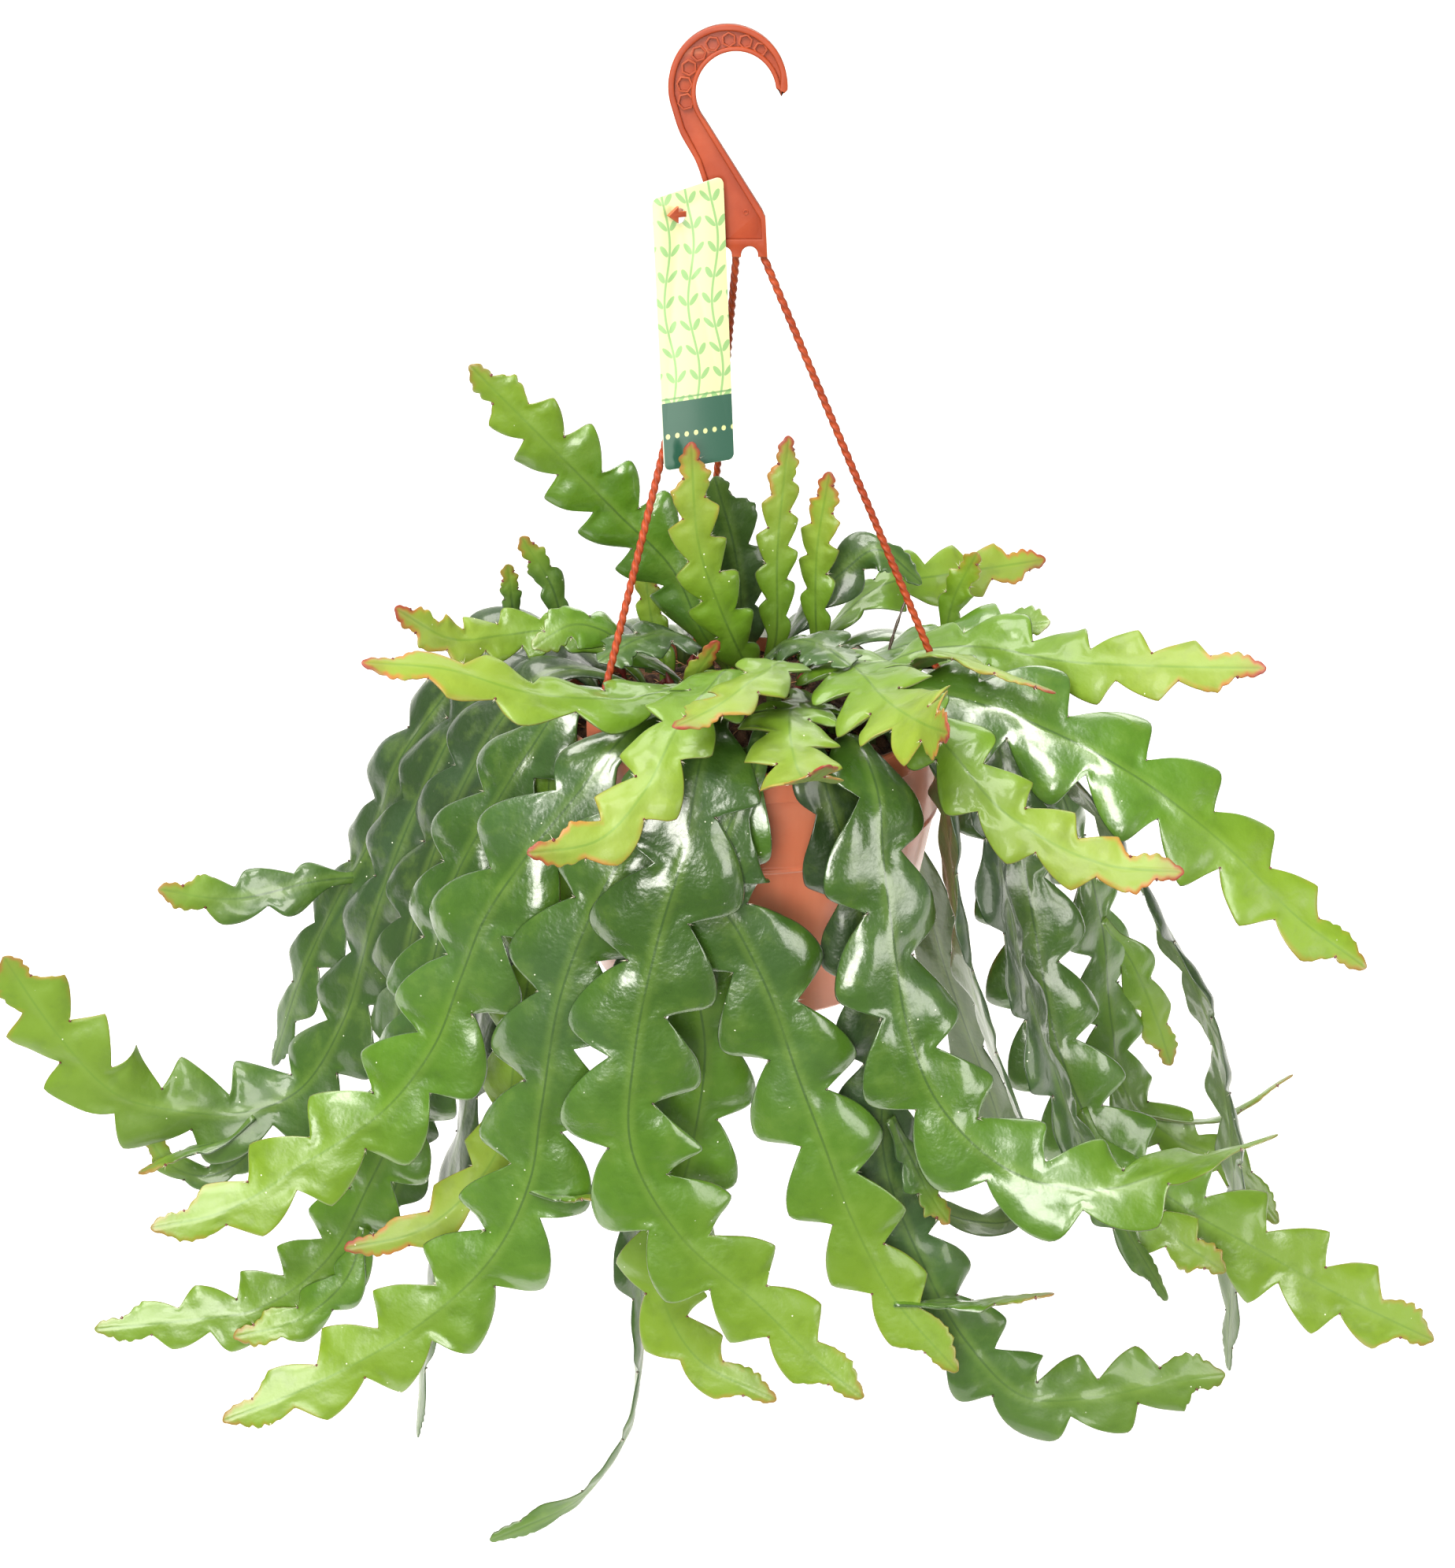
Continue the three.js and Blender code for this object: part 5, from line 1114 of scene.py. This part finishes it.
def makeHook(finish):
    # the outline less the recess at full thickness, a thin web between, six-sided cells standing in the
    # recess along the arc, and a small ring on the web
    h = hook
    half, web = h["thickness"] / 2, h["web"] / 2
    bits = Bits()
    outline, recess = hookOutline(), hookRecess()
    plate(bits, [outline, recess], h["thickness"], -half, h["bevel"])
    plate(bits, [outline], h["web"], -web, 0.1)
    for k in range(h["cells"]):
        angle = math.radians(h["cellStart"] - h["cellTurn"] * k)
        x = h["cellMiddle"][0] + h["cellReach"] * math.cos(angle)
        z = h["cellMiddle"][1] + h["cellReach"] * math.sin(angle)
        size = h["cellSize"] - h["cellShrink"] * k
        spin = math.degrees(angle)
        ring = [arc(x, z, r, spin, spin + 300, 6) for r in (size + 0.25, size - h["cellWall"] + 0.1)]
        plate(bits, ring, half - 0.4 - web + 0.5, -half + 0.4, 0.2)
    plate(bits, [arc(*h["stud"], r, 0, 350, 24) for r in h["studRings"]], 0.9, -web - 0.45, 0.15)
    makePeg(bits)
    piece("hook_moulding", welded(bits.mesh("hook_moulding")), finish, ["hanger_hook"])
    print("hook made")


def makeStrap(name, prongX, angle, finish):
    # the section is a circle with three grooves, radius less groove times how far the wave is from its
    # crest; it turns evenly along a straight line from the prong to the clip over the rim
    s, c = strap, clip
    turn = math.radians(angle)
    reach = pot["rimRadius"] + c["gap"] + c["plate"] / 2
    foot = np.array([potAxis[0] + reach * math.cos(turn), potAxis[1] + reach * math.sin(turn),
                     pot["rimTop"] + c["lug"] - 1])
    top = np.array([prongX, 0, hook["foot"] + 0.6])
    along = foot - top
    long = np.linalg.norm(along)
    way = along / long
    side = unit(np.cross(way, [0, 1, 0]))
    other = np.cross(way, side)
    rows = int(long / s["row"])
    share = np.linspace(0, 1, rows)[:, None]
    around = np.arange(s["around"]) * 2 * np.pi / s["around"]
    spin = 2 * np.pi * share * long / s["turnLength"]
    swell = np.abs(np.cos(1.5 * (around - spin)))
    ends = np.minimum(1, np.minimum(share, 1 - share) * long / s["taperLength"] + 0.55)
    radius = (s["radius"] - s["groove"] * (1 - swell)) * (1 - 0.1 * (1 - ends))
    centre = top + share * along
    points = (centre[:, None, :] + (radius * np.cos(around))[..., None] * side
              + (radius * np.sin(around))[..., None] * -other)
    bits = Bits()
    bits.add(points, tubeFaces(rows, s["around"]))
    outer, wall = pot["rimRadius"] + c["gap"], pot["wallTop"] + c["gap"]
    above, below = pot["rimTop"] + c["gap"], pot["rimFoot"] - c["gap"]
    lug, thick = pot["rimTop"] + c["lug"], c["plate"]
    section = np.array([
        (outer - c["over"], above), (outer, above), (outer, below), (wall, below), (wall, below - thick),
        (outer + thick, below - thick), (outer + thick, lug), (outer, lug), (outer, above + thick),
        (outer - c["over"], above + thick)])
    holder = Bits()
    plate(holder, [section], c["width"], -c["width"] / 2, c["bevel"])
    bits.add(turned(holder.points[0], turn) + [potAxis[0], potAxis[1], 0], holder.faces)
    mesh = welded(bits.mesh("cord_" + name), 60)
    piece("cord_" + name, mesh, finish, ["strap_" + name])


# Tag

tag = dict(
    width=37.5, height=119, rise=6, thickness=0.8, yaw=34, lean=4, corner=3, bevel=0.12,
    eye=3.2, eyeDrop=8.6, eyeAcross=0.38, rest=1.2,
    column=12.5, rung=11.0, sway=2.2, band=30, dotPitch=5.0)  # a sprig to each column, a dotted band below


def tagFinish():
    # across and up are mm on the card; a sprig's stem sways as a sine of up, its leaves are ellipses
    # repeated at each rung and bent outward, and the band below a thin line holds a row of dots
    t = tag
    f = Finish("printedCard")
    across, up = f.value("across"), f.value("up")
    place = f.place()
    fine = f.noise(600, 2, place)
    sway = (up * 0.11).wave() * t["sway"]
    column = ((across + sway) / t["column"]).part() * t["column"] - t["column"] / 2
    stem = 1 - (column.size() - 0.45).rise(0.0, 0.35)
    rung = (up / t["rung"]).part() * t["rung"] - t["rung"] / 2
    rise = rung - column.size() * 0.8
    leaf = 1 - ((column.size() - 3.0) ** 2 / 5.6 + rise ** 2 / 3.0).rise(0.85, 1.1)
    sprig = stem.most(leaf)
    cloud = f.noise(20, 2, place).rise(0.3, 0.7) * 0.25
    colour = f.mix(cloud, tint(226, 228, 172), tint(218, 222, 158))
    colour = f.mix(sprig * 0.85, colour, tint(128, 184, 112))
    band = 1 - (up - t["band"]).rise(-0.1, 0.1)
    line = 1 - ((up - t["band"] - 1.6).size() - 0.35).rise(0.0, 0.2)
    colour = f.mix(line * 0.8, colour, tint(96, 150, 92))
    step = (across / t["dotPitch"]).part() * t["dotPitch"] - t["dotPitch"] / 2
    dots = 1 - (step ** 2 + (up - t["band"] / 2) ** 2).rise(1.1, 1.7)
    inked = f.mix(dots * 0.9, tint(44, 92, 74), tint(222, 226, 160))
    colour = f.mix(band, colour, inked)
    colour = f.mix(f.value("rimmed") * 0.7, colour, tint(240, 240, 226))
    return f.close(Base_Color=colour, Roughness=0.38 + 0.1 * fine, Normal=f.bump(fine, 0.05, 0.0004),
                   Coat_Weight=0.3, Coat_Roughness=0.2)


def makeTag():
    # a rounded card with a slanted top and an eye, bowed as a sine of up plus one of across, leant back
    # and turned to face the peg, which its eye hangs on
    t = tag
    w, h, rise, c = t["width"], t["height"], t["rise"], t["corner"]
    loop = np.concatenate([
        arc(c, c, c, 180, 270, 8), arc(w - c, c, c, 270, 360, 8),
        arc(w - c, h + rise - c, c, 0, 99, 8), arc(c, h - c, c, 99, 180, 8)])
    eyeX, eyeZ = w * t["eyeAcross"], h - t["eyeDrop"]
    flat = Bits()
    eye = arc(eyeX, eyeZ, t["eye"], 0, 348, 30)
    plate(flat, [loop, eye], t["thickness"], -t["thickness"] / 2, t["bevel"])
    points = flat.points[0]
    across, up = points[:, 0].copy(), points[:, 2].copy()
    rimmed = (np.abs(points[:, 1]) < t["thickness"] / 2 - 0.01) * 1.0
    bow = 1.2 * np.sin(np.pi * up / (h + rise)) * 0.6 + 0.5 * np.sin(np.pi * across / w)
    points = points + np.stack([0 * bow, bow, 0 * bow], axis=1) - [eyeX, 0, eyeZ]
    lean, yaw = math.radians(-t["lean"]), math.radians(t["yaw"])
    facing = np.array(Matrix.Rotation(yaw, 3, "Z") @ Matrix.Rotation(lean, 3, "X"))
    bits = Bits()
    bits.add(points @ facing.T + [*peg["eye"], peg["height"] - t["rest"]], flat.faces,
             across=across, up=up, rimmed=rimmed)
    piece("printed_tag", welded(bits.mesh("printed_tag"), 40), tagFinish(), ["tag_card"])
    print("tag made")


makeHook(plasticFinish("hookPlastic", tint(146, 54, 22), tint(162, 66, 30), 0.40))
strapPlastic = plasticFinish("cordPlastic", tint(150, 56, 24), tint(168, 70, 32), 0.42)
for name, (prongX, angle) in strapEnds.items():
    makeStrap(name, prongX, angle, strapPlastic)
print("straps made:", len(strapEnds))
makeTag()


# Floor, lights and camera, in metres

floor = dict(front=-0.3, back=1.5, bend=1.0, height=-0.80, top=3.0, half=4.0, glow=0.4)
lamps = dict(  # place, size and power; each looks at the heart of the plant
    key=((-0.6, -1.35, 1.25), 0.9, 43),
    top=((-0.8, 0.0, 1.5), 1.2, 40),
    back=((0.7, 1.5, 1.3), 1.3, 22),
    window=((-0.3, -2.0, 0.12), 0.9, 36),
    fill=((1.6, -1.2, -0.1), 0.9, 14))
lampColour = (1.0, 0.98, 0.92)
skyStrength = 0.16
view = dict(place=(-0.0037, -1.066, 0.098), downward=22.5, focal=3000, frameHeight=1991)  # focal in pixels


def makeFloor():
    # the floor runs back and then bends up into the wall along a quarter circle
    f = floor
    t = np.linspace(0, 1, 40) * np.pi / 2
    low, high = f["height"], f["height"] + f["bend"] * (1 - np.cos(t))
    y = np.concatenate([np.linspace(f["front"], f["back"], 12), f["back"] + f["bend"] * np.sin(t), [2.5]])
    z = np.concatenate([np.full(12, low), high, [f["top"]]])
    x = np.broadcast_to(np.array([-f["half"], f["half"]]), (len(y), 2))
    points = np.stack([x, np.repeat(y[:, None], 2, 1), np.repeat(z[:, None], 2, 1)], axis=-1)
    mesh = bpy.data.meshes.new("floor")
    faces = gridFaces(len(y), 2, closed=False)
    mesh.from_pydata(points.reshape(-1, 3).tolist(), [], faces.tolist())
    mesh.polygons.foreach_set("use_smooth", np.ones(len(mesh.polygons), bool))
    mesh.materials.append(Finish("paleFloor").close(
        Base_Color=tint(240, 240, 238), Roughness=0.75, Emission_Color=(1, 1, 1, 1),
        Emission_Strength=f["glow"]))
    obj = bpy.data.objects.new("floor", mesh)
    bpy.context.scene.collection.objects.link(obj)


def makeLights():
    world = bpy.data.worlds.new("soft")
    world.use_nodes = True
    sky = world.node_tree.nodes["Background"].inputs
    sky[0].default_value = (1.0, 1.0, 1.0, 1.0)
    sky[1].default_value = skyStrength
    bpy.context.scene.world = world
    for name, (at, size, power) in lamps.items():
        light = bpy.data.lights.new(name, "AREA")
        light.energy, light.size, light.color = power, size, lampColour
        lamp = bpy.data.objects.new(name, light)
        lamp.location = at
        lamp.rotation_euler = (Vector((0, 0, -0.4)) - Vector(at)).to_track_quat("-Z", "Y").to_euler()
        bpy.context.scene.collection.objects.link(lamp)


def makeCamera():  # the photograph is taller than wide, so the sensor's width spans its height
    lens = bpy.data.cameras.new("view")
    lens.sensor_width = 36.0
    lens.lens = lens.sensor_width * view["focal"] / view["frameHeight"]
    lens.clip_start = 0.01
    camera = bpy.data.objects.new("view", lens)
    camera.location = view["place"]
    camera.rotation_euler = (math.radians(90 - view["downward"]), 0, 0)
    bpy.context.scene.collection.objects.link(camera)
    bpy.context.scene.camera = camera
    bpy.context.scene.view_settings.view_transform = "Standard"


makeFloor()
makeLights()
makeCamera()
print("studio made")
